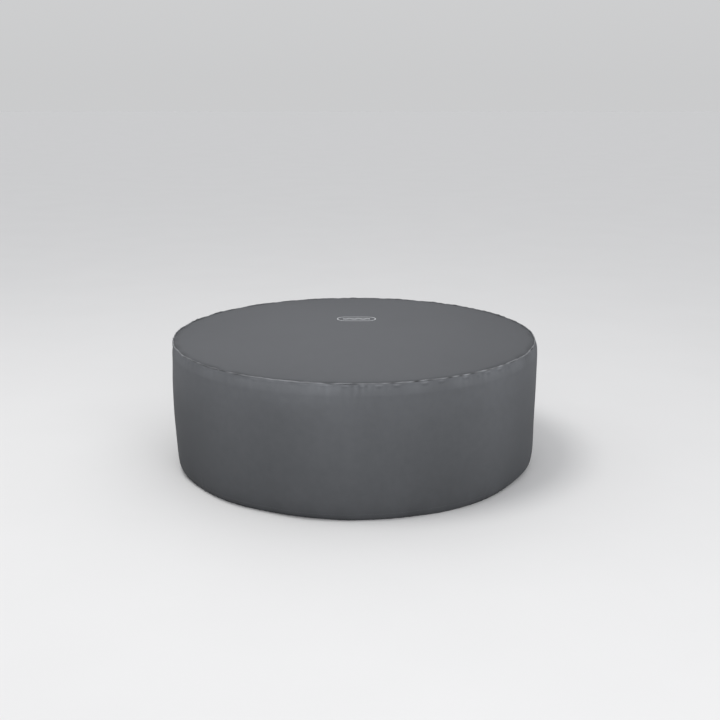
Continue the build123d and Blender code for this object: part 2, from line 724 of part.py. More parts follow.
with BuildPart() as lid_top_skin:
    revolve(lid_shell(0, LID_SKIN, LID_EDGE_HEIGHT, LID_TOP + 1), Axis.Z)
save(lid_top_skin, "lid_top_skin")

with BuildPart() as lid_bottom_skin:
    revolve(lid_shell(0, LID_SKIN, LID_BOTTOM - 1, LID_EDGE_HEIGHT), Axis.Z)
    with BuildSketch(Plane.XY.offset(LID_BOTTOM - 5)):
        with Locations(LID_VALVE_AT):
            Circle(24)
    extrude(amount=12, mode=Mode.SUBTRACT)
save(lid_bottom_skin, "lid_bottom_skin")

with BuildPart() as lid_bladder:
    revolve(lid_shell(BLADDER_GAP, BLADDER_GAP + 2, LID_BOTTOM, LID_TOP), Axis.Z)
    with BuildSketch(Plane.XY.offset(LID_BOTTOM)):
        with Locations(LID_VALVE_AT):
            Circle(13)
    extrude(amount=8, mode=Mode.SUBTRACT)
save(lid_bladder, "lid_bladder")


def edge_band(start, end, r_low, r_high, z_low, z_high, mode=Mode.ADD):
    """A band round the lid's edge between two angles."""
    with BuildSketch(section_plane(start)) as section:
        with Locations(((r_low + r_high) / 2, (z_low + z_high) / 2)):
            Rectangle(r_high - r_low, z_high - z_low)
    revolve(section.sketch, Axis.Z, end - start, mode=mode)


TAPE_FACE = LID_RADIUS + TAPE

with BuildPart() as lid_zip_tape:
    edge_band(ZIP_START, ZIP_END, LID_RADIUS, TAPE_FACE, LID_EDGE_HEIGHT - 11, LID_EDGE_HEIGHT + 11)
save(lid_zip_tape, "lid_zip_tape")

TOOTH = 2

with BuildPart() as lid_zip_teeth:
    edge_band(
        ZIP_START + 1, ZIP_END - 1, TAPE_FACE, TAPE_FACE + TOOTH,
        LID_EDGE_HEIGHT - TOOTH, LID_EDGE_HEIGHT + TOOTH,
    )
save(lid_zip_teeth, "lid_zip_teeth")

with BuildPart() as lid_edge_binding:
    edge_band(
        ZIP_END + 1, ZIP_START + 359, LID_RADIUS, TAPE_FACE,
        LID_EDGE_HEIGHT - 9, LID_EDGE_HEIGHT + 9,
    )
save(lid_edge_binding, "lid_edge_binding")

SLIDER_ARC = 1.0            # degrees
SLIDER_START = ZIP_START + 3
SLIDER_END = SLIDER_START + SLIDER_ARC

with BuildPart() as lid_zip_slider:
    back, front = TAPE_FACE + 0.4, TAPE_FACE + TOOTH + 3
    edge_band(SLIDER_START, SLIDER_END, back, front, LID_EDGE_HEIGHT - 6, LID_EDGE_HEIGHT + 6)
    edge_band(
        SLIDER_START, SLIDER_END, TAPE_FACE, TAPE_FACE + TOOTH + 0.5,
        LID_EDGE_HEIGHT - TOOTH - 0.5, LID_EDGE_HEIGHT + TOOTH + 0.5, Mode.SUBTRACT,
    )
    block(
        (SLIDER_START + SLIDER_END) / 2, 8, front - 0.5, front + 1.5,
        LID_EDGE_HEIGHT - 30, LID_EDGE_HEIGHT + 3,
    )
save(lid_zip_slider, "lid_zip_slider")

lid_valve_body = valve_body(lid_valve_plane, 22, 12, 20)
save(lid_valve_body, "lid_valve_body")
lid_valve_cap = valve_cap(lid_valve_plane, 18)
save(lid_valve_cap, "lid_valve_cap")

STRAP_END = SOCKET_HIGH + 8

with BuildPart() as lid_straps:
    for angle in STRAP_ANGLES:
        block(angle, STRAP_WIDTH, STRAP_RADIUS, STRAP_RADIUS + TAPE, STRAP_END, LID_EDGE_HEIGHT + 9)
save(lid_straps, "lid_straps")

with BuildPart() as buckle_tongues:
    for angle in STRAP_ANGLES:
        low = SOCKET_HIGH - TONGUE_DEPTH
        block(
            angle, TONGUE_WIDTH,
            TONGUE_MIDDLE - TONGUE_THICKNESS / 2, TONGUE_MIDDLE + TONGUE_THICKNESS / 2,
            low, STRAP_END,
        )
        block(angle, 10, TONGUE_MIDDLE - 2.5, TONGUE_MIDDLE + 2.5, low + 6, low + 20, Mode.SUBTRACT)
save(buckle_tongues, "buckle_tongues")
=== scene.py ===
"""Looks of the round inflatable hot tub and its fitted cover. Metres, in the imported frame."""

import json
from math import cos, pi, radians, sin, sqrt, tau

import bpy
import numpy as np
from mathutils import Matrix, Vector


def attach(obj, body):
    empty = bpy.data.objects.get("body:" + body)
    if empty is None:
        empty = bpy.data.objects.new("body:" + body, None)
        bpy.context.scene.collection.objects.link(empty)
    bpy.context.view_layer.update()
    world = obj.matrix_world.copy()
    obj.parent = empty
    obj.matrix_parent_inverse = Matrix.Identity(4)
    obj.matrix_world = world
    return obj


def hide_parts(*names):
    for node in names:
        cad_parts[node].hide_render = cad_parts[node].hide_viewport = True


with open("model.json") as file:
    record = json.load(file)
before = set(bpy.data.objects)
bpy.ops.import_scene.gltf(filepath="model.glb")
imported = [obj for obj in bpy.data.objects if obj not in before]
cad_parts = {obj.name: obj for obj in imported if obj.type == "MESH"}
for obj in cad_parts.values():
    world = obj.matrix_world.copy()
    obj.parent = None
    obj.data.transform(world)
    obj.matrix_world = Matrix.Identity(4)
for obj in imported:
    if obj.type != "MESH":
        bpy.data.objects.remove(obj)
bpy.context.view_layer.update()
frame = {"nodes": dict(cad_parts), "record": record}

# ---- sizes
RIM_R, RIM_Z = 0.99, 0.686
TOP_R, TOP_EDGE_Z, CROWN_Z = 0.9835, 0.691, 0.702
PIPING_R, PIPING_AT = 0.0034, (0.9868, 0.6893)
BAND_Z = 0.634              # foot of the lighter band under the rim
SKIRT_TOP_Z = 0.6875        # where the skirt's cloth meets the piping
CLOTH = 0.0015
CUTOUT_HALF, CUTOUT_SPRING = 0.2, 0.14
CUTOUT_R = 0.985            # how far out the skirt is where the cut-out is
CUTOUT_ANGLE = np.arccos(CUTOUT_HALF / CUTOUT_R)
SEAM_RIGHT, SEAM_LEFT = radians(75), radians(105)
PRINT_AT, PRINT_HALF = (0.0125, 0.335), (0.113, 0.055)
SHARP = radians(40)         # edges that bend more than this stay sharp


# ---- shapes from numbers
def ripples(theta, z, low, high, count, seed, slant):
    """A smooth random wobble round the tub, about one unit high, with crests that lean as they
    run down the cloth."""
    rng = np.random.default_rng(seed)
    turns = rng.integers(low, high + 1, count)
    phases = rng.uniform(0, tau, count)
    leans = rng.uniform(-slant, slant, count)
    total = sum(np.sin(k * theta + p + q * z) for k, p, q in zip(turns, phases, leans))
    return total / sqrt(count / 2)


def waves(theta, low, high, count, seed):
    """Ripples with upright crests."""
    return ripples(theta, 0, low, high, count, seed, 0)


def near(theta, middle, width):
    """A soft bump round an angle in degrees."""
    away = (theta - radians(middle) + pi) % tau - pi
    return np.exp(-((away / radians(width)) ** 2))


def hump(value, middle, width):
    """A soft bump round a height or a radius."""
    return np.exp(-(((value - middle) / width) ** 2))


def smooth(value):
    """Eases from 0 to 1."""
    value = np.clip(value, 0, 1)
    return value * value * (3 - 2 * value)


def swept(points, u, v=0.0, wrap=False):
    """A closed skin from a grid: a closed profile in the rows, repeated along the columns."""
    count, columns = points.shape[:2]
    v = np.broadcast_to(v, (count, columns))
    spans = columns if wrap else columns - 1
    row, column = (a.ravel() for a in np.mgrid[0:count, 0:spans])
    after = (row + 1) % count
    corners = ((row, column), (row, column + 1), (after, column + 1), (after, column))
    faces = np.stack([a * columns + b % columns for a, b in corners], 1)
    uvs = np.stack([np.stack([u[b], v[a, b % columns]], 1) for a, b in corners], 1)
    faces, uvs = faces.tolist(), [uvs.reshape(-1, 2)]
    if not wrap:
        k = np.arange(count // 2 - 1)
        cap = np.stack([k, k + 1, count - 2 - k, count - 1 - k], 1)
        faces += (cap * columns).tolist()
        faces += (cap[:, ::-1] * columns + columns - 1).tolist()
        uvs.append(np.zeros((8 * len(k), 2)))
    return points.reshape(-1, 3), faces, np.concatenate(uvs)


def polar(radius, theta, z):
    """Points of a grid from radii, angles and heights."""
    radius, theta, z = np.broadcast_arrays(radius, theta, z)
    return np.stack([radius * np.cos(theta), radius * np.sin(theta), z], -1)


def around_axis(x, y):
    """Radius and angle of points."""
    return np.hypot(x, y), np.arctan2(y, x)


def ring_shell(theta, outer, inner, z, wrap):
    """A thin skin round the tub, from the outer and inner radii and the heights of its rows."""
    outer, inner, z, _ = np.broadcast_arrays(outer, inner, z, theta)
    radius = np.concatenate([outer, inner[::-1]])
    height = np.concatenate([z, z[::-1]])
    ends = np.append(theta, theta[-1] + theta[1] - theta[0])
    return swept(polar(radius, theta, height), ends * RIM_R, height, wrap)


def ring_tube(theta, radius, z, thick, sides, wrap=True):
    """A cord round the tub."""
    turn = np.linspace(0, tau, sides, endpoint=False)[:, None] - pi / 2
    points = polar(radius + thick * np.cos(turn), theta, z + thick * np.sin(turn))
    ends = np.append(theta, theta[-1] + theta[1] - theta[0])
    return swept(points, ends * RIM_R, turn * thick, wrap)


def above(surface, lift):
    """A surface moved up, for a disc."""
    return lambda x, y: surface(x, y) + lift


def disc(levels, top, bottom):
    """A round sheet. levels are (radii, columns), columns multiplying outwards."""
    flat, starts = [(0.0, 0.0)], []
    for radii, columns in levels:
        angles = np.arange(columns) * tau / columns
        for radius in radii:
            starts.append((len(flat), columns))
            flat += list(zip(radius * np.cos(angles), radius * np.sin(angles)))
    first, columns = starts[0]
    faces = [[0, first + i, first + (i + 1) % columns] for i in range(columns)]
    for (inside, few), (outside, many) in zip(starts, starts[1:]):
        step = many // few
        for i in range(few):
            arc = [outside + (step * i + m) % many for m in range(step + 1)]
            faces.append([inside + i] + arc + [inside + (i + 1) % few])
    flat = np.array(flat)
    total = len(flat)
    x, y = flat.T
    points = [np.stack([x, y, top(x, y)], 1), np.stack([x, y, bottom(x, y)], 1)]
    faces += [[total + k for k in reversed(face)] for face in faces]
    last, columns = starts[-1]
    for i in range(columns):
        a, b = last + i, last + (i + 1) % columns
        faces.append([a, total + a, total + b, b])
    return np.concatenate(points), faces, flat[np.concatenate(faces) % total]


def strip(path, width, low, high, closed):
    """A flat ribbon that follows a line of points (x, y), between two surfaces."""
    path = np.array(path, float)
    if closed:
        along = np.roll(path, -1, 0) - np.roll(path, 1, 0)
    else:
        along = np.gradient(path, axis=0)
    along /= np.linalg.norm(along, axis=1)[:, None]
    side = np.stack([along[:, 1], -along[:, 0]], 1) * width / 2
    right, left = path + side, path - side
    rows = [np.column_stack([edge, height(*edge.T)])
            for edge, height in ((right, low), (right, high), (left, high), (left, low))]
    length = np.arange(len(path) + 1) * width
    return swept(np.array(rows), length, wrap=closed)


STITCH_FACES = ((0, 1, 3, 2), (2, 3, 5, 4), (4, 5, 7, 6), (0, 2, 4, 6), (1, 7, 5, 3), (0, 6, 7, 1))


def stitches(middle, along, out, length=0.005, width=0.0012, lift=0.0007):
    """Small raised stitches at points, each along a direction and standing out from the cloth."""
    across = np.cross(along, out)
    rows, faces = [], []
    for k in range(len(middle)):
        for end, narrow, rise in ((-1, 0.5, 0.0), (-0.6, 1, 1), (0.6, 1, 1), (1, 0.5, 0.0)):
            for side in (-1, 1):
                rows.append(middle[k] + along[k] * end * length / 2
                            + across[k] * side * narrow * width / 2
                            + out[k] * lift * (rise - 0.3))
        faces += [[8 * k + corner for corner in face] for face in STITCH_FACES]
    return np.array(rows), faces, np.zeros((24 * len(middle), 2))


def add(name, data):
    """A new object in the scene."""
    obj = bpy.data.objects.new(name, data)
    bpy.context.scene.collection.objects.link(obj)
    return obj


def make(name, parts, material, body, replaces=(), tone=None):
    """One object from shapes, riding on a body. tone gives its points' lightness."""
    points, faces, uvs, start = [], [], [], 0
    for part_points, part_faces, part_uvs in parts:
        points.append(part_points)
        faces += [[start + k for k in face] for face in part_faces]
        uvs.append(part_uvs)
        start += len(part_points)
    mesh = bpy.data.meshes.new(name)
    mesh.from_pydata(np.concatenate(points).tolist(), [], faces)
    layer = mesh.uv_layers.new(name="UVMap")
    layer.data.foreach_set("uv", np.concatenate(uvs).astype(np.float32).ravel())
    # the tone attribute holds the painted light and shade of the cover's cloth and piping
    if tone:
        values = tone(np.concatenate(points)).astype(np.float32)
        mesh.attributes.new("tone", "FLOAT", "POINT").data.foreach_set("value", values)
    mesh.shade_smooth()
    mesh.set_sharp_from_angle(angle=SHARP)
    mesh.materials.append(material)
    obj = add(name, mesh)
    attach(obj, body)
    if replaces:
        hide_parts(*replaces)
    return obj


# ---- materials
class Shader:
    """A principled material with a few helpers for its node tree."""

    def __init__(self, name, colour, roughness):
        self.material = bpy.data.materials.new(name)
        self.material.use_nodes = True
        tree = self.material.node_tree
        self.nodes, self.links = tree.nodes, tree.links
        self.bsdf = self.nodes["Principled BSDF"]
        self.set("Base Color", (*colour, 1))
        self.set("Roughness", roughness)
        self.base = colour
        self.rough = roughness

    def set(self, name, value):
        self.bsdf.inputs[name].default_value = value

    def node(self, kind, **values):
        made = self.nodes.new(kind)
        for name, value in values.items():
            if name in made.inputs:
                made.inputs[name].default_value = value
            else:
                setattr(made, name, value)
        return made

    def coordinates(self, which):
        return self.node("ShaderNodeTexCoord").outputs[which]

    def noise(self, scale, detail=3.0):
        made = self.node("ShaderNodeTexNoise", Scale=scale, Detail=detail)
        self.links.new(self.coordinates("Object"), made.inputs["Vector"])
        return made.outputs["Fac"]

    def to_range(self, value, low, high, new_low, new_high):
        made = self.node("ShaderNodeMapRange", **{"From Min": low, "From Max": high,
                                                  "To Min": new_low, "To Max": new_high})
        self.links.new(value, made.inputs["Value"])
        return made.outputs["Result"]

    def math(self, kind, first, second):
        made = self.node("ShaderNodeMath", operation=kind)
        for slot, value in enumerate((first, second)):
            if isinstance(value, (int, float)):
                made.inputs[slot].default_value = value
            else:
                self.links.new(value, made.inputs[slot])
        return made.outputs["Value"]

    def height(self):
        """Height above the ground, in metres."""
        parts = self.node("ShaderNodeSeparateXYZ")
        self.links.new(self.coordinates("Object"), parts.inputs["Vector"])
        return parts.outputs["Z"]

    def tint(self, value):
        """Multiplies the base colour by a number from the node tree."""
        made = self.node("ShaderNodeVectorMath", operation="SCALE")
        made.inputs[0].default_value = self.base
        self.links.new(value, made.inputs["Scale"])
        self.links.new(made.outputs["Vector"], self.bsdf.inputs["Base Color"])

    def roughen(self, value, spread):
        low, high = self.rough - spread, self.rough + spread
        self.links.new(self.to_range(value, 0.3, 0.7, low, high), self.bsdf.inputs["Roughness"])

    def bump(self, value, distance):
        made = self.node("ShaderNodeBump", Distance=distance)
        self.links.new(value, made.inputs["Height"])
        self.links.new(made.outputs["Normal"], self.bsdf.inputs["Normal"])

    def weave(self, pitch):
        """Height of a plain weave with threads this far apart, over UVs in metres."""
        vector = self.coordinates("UV")
        threads = []
        for direction in ("X", "Y"):
            made = self.node("ShaderNodeTexWave", bands_direction=direction,
                             Scale=tau / (20 * pitch))
            self.links.new(vector, made.inputs["Vector"])
            threads.append(made.outputs["Fac"])
        return self.math("MAXIMUM", *threads)


def cloth(name, colour, roughness, pitch=0.0016, mottle=0.04, foot=None, depth=0.0001, toned=False):
    """Woven cloth with a slightly uneven dye; foot = (shade at the ground, height) darkens it
    with painted shade towards the ground, and toned cloth takes the lightness of its points,
    which holds painted light and shade."""
    shader = Shader(name, colour, roughness)
    uneven = shader.noise(22, 4)
    tone = shader.to_range(uneven, 0.3, 0.7, 1 - mottle, 1 + mottle)
    # painted shade: the cloth darkens towards the ground
    if foot:
        shade, reach = foot
        tone = shader.math("MULTIPLY", tone, shader.to_range(shader.height(), 0, reach, shade, 1))
    if toned:
        made = shader.node("ShaderNodeAttribute", attribute_name="tone")
        tone = shader.math("MULTIPLY", tone, made.outputs["Fac"])
    shader.tint(tone)
    shader.roughen(uneven, 0.04)
    fine = shader.math("MULTIPLY", shader.noise(9, 3), 6.0)
    shader.bump(shader.math("ADD", shader.weave(pitch), fine), depth)
    shader.set("Specular IOR Level", 0.12)
    return shader.material


def plastic(name, colour, roughness, grain=0.00003, coat=0.0):
    """Moulded plastic with a fine grain."""
    shader = Shader(name, colour, roughness)
    shader.bump(shader.noise(900, 2), grain)
    shader.roughen(shader.noise(40, 3), 0.04)
    shader.set("Coat Weight", coat)
    return shader.material


def vinyl(name, colour, roughness, pebble=380, depth=0.00025, mottle=0.03):
    """Embossed or smooth PVC sheet."""
    shader = Shader(name, colour, roughness)
    shader.tint(shader.to_range(shader.noise(7, 3), 0.3, 0.7, 1 - mottle, 1 + mottle))
    made = shader.node("ShaderNodeTexVoronoi", Scale=pebble)
    shader.links.new(shader.coordinates("UV"), made.inputs["Vector"])
    shader.bump(made.outputs["Distance"], depth)
    shader.roughen(shader.noise(30, 3), 0.05)
    return shader.material


def metal(name, colour, roughness):
    shader = Shader(name, colour, roughness)
    shader.set("Metallic", 1)
    shader.roughen(shader.noise(120, 3), 0.06)
    return shader.material


# The side cloth's foot is painted shade, darkening it towards the ground.
COVER_CLOTH = cloth("cover_cloth_side", (0.117, 0.122, 0.131), 0.72, foot=(0.66, 0.6), toned=True)
COVER_TOP = cloth("cover_cloth_top", (0.114, 0.118, 0.127), 0.72, toned=True)
HEM_CLOTH = cloth("cover_cloth_hem", (0.09, 0.094, 0.101), 0.72)
TRIM = cloth("cover_trim", (0.165, 0.17, 0.18), 0.5, pitch=0.001, mottle=0.03)
# The piping's colour, lighter than the cloth, is partly a painted highlight along the seam.
PIPING = cloth("cover_piping", (0.165, 0.17, 0.18), 0.5, pitch=0.001, mottle=0.03, toned=True)
THREAD = cloth("thread", (0.12, 0.125, 0.135), 0.6, pitch=0.0006)
FOAM = plastic("cover_foam", (0.72, 0.72, 0.7), 0.8, 0.0001)
LINING = cloth("cover_lining", (0.55, 0.56, 0.58), 0.35, pitch=0.004)
INK = plastic("print_ink", (0.47, 0.48, 0.5), 0.55)
LID_CLOTH = cloth("lid_cloth", (0.1, 0.104, 0.112), 0.6, pitch=0.0018)
FOIL = cloth("lid_foil", (0.62, 0.64, 0.66), 0.32, pitch=0.006, depth=0.0003)
BLADDER = vinyl("bladder", (0.7, 0.76, 0.82), 0.25, depth=0.00005)
WEBBING = cloth("webbing", (0.035, 0.036, 0.04), 0.6, pitch=0.0028, depth=0.0005)
LIGHT_THREAD = cloth("light_thread", (0.45, 0.46, 0.48), 0.6, pitch=0.0006)
OUTER_VINYL = vinyl("outer_vinyl", (0.066, 0.07, 0.079), 0.48)
PATCH_VINYL = vinyl("patch_vinyl", (0.052, 0.055, 0.062), 0.42, depth=0.00008)
INNER_VINYL = vinyl("inner_vinyl", (0.6, 0.65, 0.68), 0.38, depth=0.00006)
RIM_VINYL = vinyl("rim_vinyl", (0.145, 0.152, 0.165), 0.46)
SCRIM = cloth("web_scrim", (0.65, 0.65, 0.64), 0.6, pitch=0.004)
MAT_FOAM = vinyl("mat_foam", (0.035, 0.042, 0.055), 0.75, pebble=160, depth=0.0004)
RUBBER_WHITE = cloth("elastic", (0.8, 0.8, 0.78), 0.7, pitch=0.001)
CAD_MATERIALS = {
    "fitting": plastic("fitting", (0.8, 0.81, 0.82), 0.38, coat=0.1),
    "fitting_dark": plastic("fitting_dark", (0.045, 0.046, 0.05), 0.42),
    "gasket": plastic("gasket", (0.03, 0.03, 0.03), 0.65),
    "paper": plastic("filter_paper", (0.85, 0.86, 0.83), 0.9, 0.0001),
    "metal": metal("zip_metal", (0.62, 0.62, 0.64), 0.28),
    "tub_outer": vinyl("tub_outer", (0.075, 0.08, 0.09), 0.5),
    "tub_inner": vinyl("tub_inner", (0.62, 0.66, 0.69), 0.4, depth=0.00005),
}


# ---- fitted cover
def band_softness(theta):
    """0 where the foot of the rim's band is a crisp line, 1 where it fades out."""
    return smooth(0.5 + 0.5 * waves(theta, 3, 9, 5, 12) - near(theta, 262, 17))


def skirt_form(theta, z):
    """Outside radius of the skirt cloth at each angle and height, without its small puckers."""
    drop = (RIM_Z - z) / RIM_Z
    radius = RIM_R + 0.0092 - 0.0105 * drop**2
    tuck = 0.02 + 0.011 * near(theta, 250, 20) + 0.013 * near(theta, 333, 14)
    tuck -= 0.008 * near(theta, 295, 8)
    radius = radius - tuck * np.exp(-z / 0.028)
    radius = radius + drop * (0.006 * near(theta, 268, 5) - 0.008 * near(theta, 289, 8))
    right = 0.005 + 0.005 * smooth(drop * 2.5) + 0.004 * hump(z, 0.1, 0.1)
    left = 0.0055 * hump(z, 0.3, 0.16) - 0.0065 * smooth((z - 0.45) / 0.17)
    bulge = right * near(theta, 357, 24) + left * near(theta, 180, 26)
    radius = radius + bulge * smooth((RIM_Z - z) / 0.03)
    lean = 0.0093 + 0.0005 * waves(theta, 5, 15, 6, 11)
    soft = 0.0015 + 0.012 * band_softness(theta)
    share = soft / (RIM_Z - BAND_Z) * np.logaddexp(0, (z - BAND_Z) / soft)
    radius = radius - lean * (0.7 * share + 0.3 * share**2)
    folds = ripples(theta, z, 5, 14, 7, 13, 3.0) * smooth(drop * 3)
    return radius + 0.0022 * folds * smooth(z / 0.12 + 0.35)


def rim_puckers(theta, z):
    """Fine upright puckers where the skirt is sewn on, from about -1 to 1."""
    bursts = 0.15 + 0.12 * smooth(waves(theta, 3, 11, 6, 14) - 0.2) + 0.95 * near(theta, 268, 6)
    falling = np.exp(-(RIM_Z - z) / 0.028) * smooth((SKIRT_TOP_Z - z) / 0.009)
    return ripples(theta, z, 120, 220, 7, 15, 20.0) * bursts * falling


def rim_bulges(theta, z, middle):
    """Small cushions of cloth in a row under the seam, centred on a height."""
    row = np.maximum(ripples(theta, z, 50, 90, 6, 16, 6.0), 0)
    return row * hump(z, middle, 0.005) * (0.2 + near(theta, 294, 20))


def skirt_radius(theta, z):
    """Outside radius of the skirt cloth at each angle and height."""
    radius = skirt_form(theta, z) + 0.0022 * rim_puckers(theta, z)
    radius = radius + 0.003 * rim_bulges(theta, z, 0.6795)
    gathers = ripples(theta, z, 80, 190, 8, 17, 9.0)
    return radius + 0.0006 * gathers * np.exp(-z / 0.04)


def skirt_painted_light(points):
    """How light the skirt cloth is, all painted light and shade: a painted highlight round the
    rim's band, painted highlights and shade on the puckers and bulges under the seam, and painted
    shade at its sides and foot.
    """
    x, y, z = points.T
    theta = around_axis(x, y)[1]
    # painted highlight along the rim's band, crisp where the band's foot is a crisp line
    width = 0.009 + 0.03 * band_softness(theta)
    band = smooth((z - BAND_Z) / width + 0.5)
    level = 0.11 + 0.15 * near(theta, 256, 13) + 0.04 * near(theta, 312, 17)
    level = level + 0.035 * waves(theta, 9, 34, 8, 61)
    rise = smooth((z - BAND_Z) / 0.045)
    tone = 1 + np.maximum(level, 0.03) * band * (0.6 + 0.6 * rise)
    # painted light: the upper skirt a little lighter
    tone += 0.035 * smooth((z - 0.48) / 0.12)
    # painted highlight on one stretch below the band
    tone += 0.12 * near(theta, 253, 12) * hump(z, 0.612, 0.032)
    # painted light and shade on the puckers' slopes
    tone += 0.15 * rim_puckers(theta, z)
    # painted highlights on the bulges and painted shade in a line under them
    tone = tone + 0.24 * rim_bulges(theta, z, 0.6815) - 0.12 * rim_bulges(theta, z, 0.671)
    # painted shade low on the left
    tone -= 0.11 * near(theta, 204, 21) * (1 - smooth((z - 0.38) / 0.16))
    # painted light and shade where the skirt's folds face up or down, and broad lighter and darker
    # stretches
    tone = tone + 0.05 * near(theta, 268, 6) - 0.06 * near(theta, 289, 9)
    tone -= 0.025 * near(theta, 287, 9) * hump(z, 0.33, 0.1)
    tone += 0.04 * near(theta, 255, 9) * hump(z, 0.13, 0.07)
    tone += 0.02 * ripples(theta, z, 5, 16, 8, 62, 4.0)
    # painted shade towards the skirt's left and right edges
    tone -= 0.08 * (near(theta, 192, 9) + near(theta, 345, 11)) * hump(z, 0.31, 0.15)
    # painted shade over the last few centimetres above the ground
    edge = 0.19 - 0.14 * near(theta, 314, 24) + 0.06 * waves(theta, 12, 40, 7, 66)
    return tone * (1 - edge * np.exp(-z / 0.04))


def top_painted_light(points):
    """How light the top cloth is, painted light and shade: lighter in the middle, with painted
    shade towards the seam and in its groove, and a slope from side to side.
    """
    x, y, _ = points.T
    radius, theta = around_axis(x, y)
    # painted shade in the groove by the seam, deeper in some stretches
    depth = 0.13 + 0.04 * waves(theta, 9, 40, 8, 63) + 0.05 * near(theta, 274, 20)
    groove = smooth((radius - 0.945) / 0.03) * depth
    spread = ripples(theta, radius, 2, 7, 6, 64, 7.0) * np.minimum(radius, 1)
    # painted light and shade: the middle lighter than the edge, and a slope from side to side
    tone = 1.02 - 0.085 * radius**2 - 0.02 * smooth((radius - 0.86) / 0.1) - groove
    return tone - 0.02 * x - 0.06 * x**2 + 0.01 * y + 0.012 * spread


def piping_painted_highlight(points):
    """How light the piping is: a painted highlight, bright in some stretches and dull in others."""
    theta = around_axis(*points.T[:2])[1]
    tone = 0.98 + 0.22 * near(theta, 200, 11) + 0.42 * near(theta, 250, 9)
    tone = tone - 0.3 * near(theta, 226, 12) + 0.14 * near(theta, 325, 14)
    return tone + 0.15 * waves(theta, 40, 110, 9, 65) * (1 + 1.3 * near(theta, 294, 20))


def top_height(x, y):
    """Height of the top cloth's upper face."""
    radius, theta = around_axis(x, y)
    out = radius / TOP_R
    height = CROWN_Z - (CROWN_Z - TOP_EDGE_Z) * out**2
    height += 0.0007 * (ripples(theta, radius, 2, 6, 6, 21, 5.0) + 1) * out * (1 - out**6)
    edge = TOP_R - radius
    bursts = 0.3 + 0.7 * smooth(waves(theta, 3, 11, 6, 22)) + near(theta, 270, 4)
    puckers = ripples(theta, radius, 150, 260, 7, 23, 30.0)
    height += 0.0005 * puckers * bursts * np.exp(-edge / 0.016)
    return height - 0.003 * hump(edge, 0, 0.008)


def arch_foot(theta):
    """Height of the cloth's lower edge: the ground, or the pump cut-out's arch."""
    x = CUTOUT_R * np.cos(theta)
    inside = (np.abs(x) < CUTOUT_HALF - 1e-6) & (np.sin(theta) > 0)
    arch = CUTOUT_SPRING + np.sqrt(np.maximum(CUTOUT_HALF**2 - x**2, 0))
    return np.where(inside, arch, 0.0)


def rear_angles():
    """Angles of the columns across the rear panel, close together at the arch's sides."""
    turn = np.linspace(0, pi, 71)
    arch = np.arccos((CUTOUT_HALF - 0.0005) * np.cos(turn) / CUTOUT_R)
    right = np.linspace(SEAM_RIGHT, CUTOUT_ANGLE, 10)
    left = np.linspace(pi - CUTOUT_ANGLE, SEAM_LEFT, 10)
    return np.concatenate([right, arch, left])


def skirt_sheet(surface, theta, low, high, rows, depth_out, depth_in, wrap):
    """A layer of the skirt between two depths behind a surface, its rows closer together at the
    rim and the hem."""
    share = np.linspace(0, 1, rows)[:, None]
    share = share - 0.13 * np.sin(tau * share)
    heights = low + (high - low) * share
    face = surface(theta, heights)
    return ring_shell(theta, face - depth_out, face - depth_in, heights, wrap)


def ways(theta):
    """The directions round the tub and outwards at each angle."""
    along = np.stack([-np.sin(theta), np.cos(theta), 0 * theta], -1)
    away = np.stack([np.cos(theta), np.sin(theta), 0 * theta], -1)
    return along, away


def crown(depth):
    """The smooth underside of the top's layers, at a depth under the cloth."""
    return lambda x, y: CROWN_Z - 0.011 * (x * x + y * y) / TOP_R**2 - depth


def build_cover_top():
    """The top cloth, the foam under it and the foam's lining."""
    levels = [(np.linspace(0.03, 0.15, 4), 40), (np.linspace(0.19, 0.43, 7), 120),
              (np.linspace(0.46, 0.93, 18), 360),
              (list(np.linspace(0.942, 0.968, 4)) + [0.972, 0.9755, 0.9785, 0.981, TOP_R], 1080)]
    cloth_top = make("cover_top_cloth", [disc(levels, top_height, above(top_height, -CLOTH))],
                     COVER_TOP, "cover", ["cover_top_panel"], tone=top_painted_light)
    coarse = [(np.linspace(0.03, 0.15, 3), 40), (np.linspace(0.2, 0.96, 12), 120), ([0.979], 360)]
    foam = make("cover_foam_sheet", [disc(coarse, above(top_height, -0.0017), crown(0.0058))],
                FOAM, "cover", ["cover_top_foam"])
    lining = make("cover_top_inner", [disc(coarse, crown(0.0061), crown(0.0078))],
                  LINING, "cover", ["cover_top_lining"])


def build_skirt():
    """The skirt's cloth, its rear panel with the cut-out, and their lining."""
    main = np.linspace(SEAM_LEFT, SEAM_RIGHT + tau, 1000)
    side = skirt_sheet(skirt_radius, main, 0.0, SKIRT_TOP_Z, 48, 0.0, CLOTH, False)
    skirt = make("cover_skirt_cloth", [side], COVER_CLOTH, "cover", ["cover_skirt"],
                 tone=skirt_painted_light)
    rear = rear_angles()
    back = skirt_sheet(skirt_radius, rear, arch_foot(rear), SKIRT_TOP_Z, 48, 0.0, CLOTH, False)
    panel = make("cover_rear_cloth", [back], COVER_CLOTH, "cover",
                 ["cover_rear_panel"], tone=skirt_painted_light)
    around = np.concatenate([np.linspace(SEAM_LEFT, SEAM_RIGHT + tau, 400)[:-1], rear[:-1] + tau])
    low = np.maximum(arch_foot(around), 0.036)
    inner = make("cover_skirt_inner",
                 [skirt_sheet(skirt_form, around, low, 0.679, 24, 0.0036, 0.0058, True)],
                 LINING, "cover", ["cover_skirt_lining"])


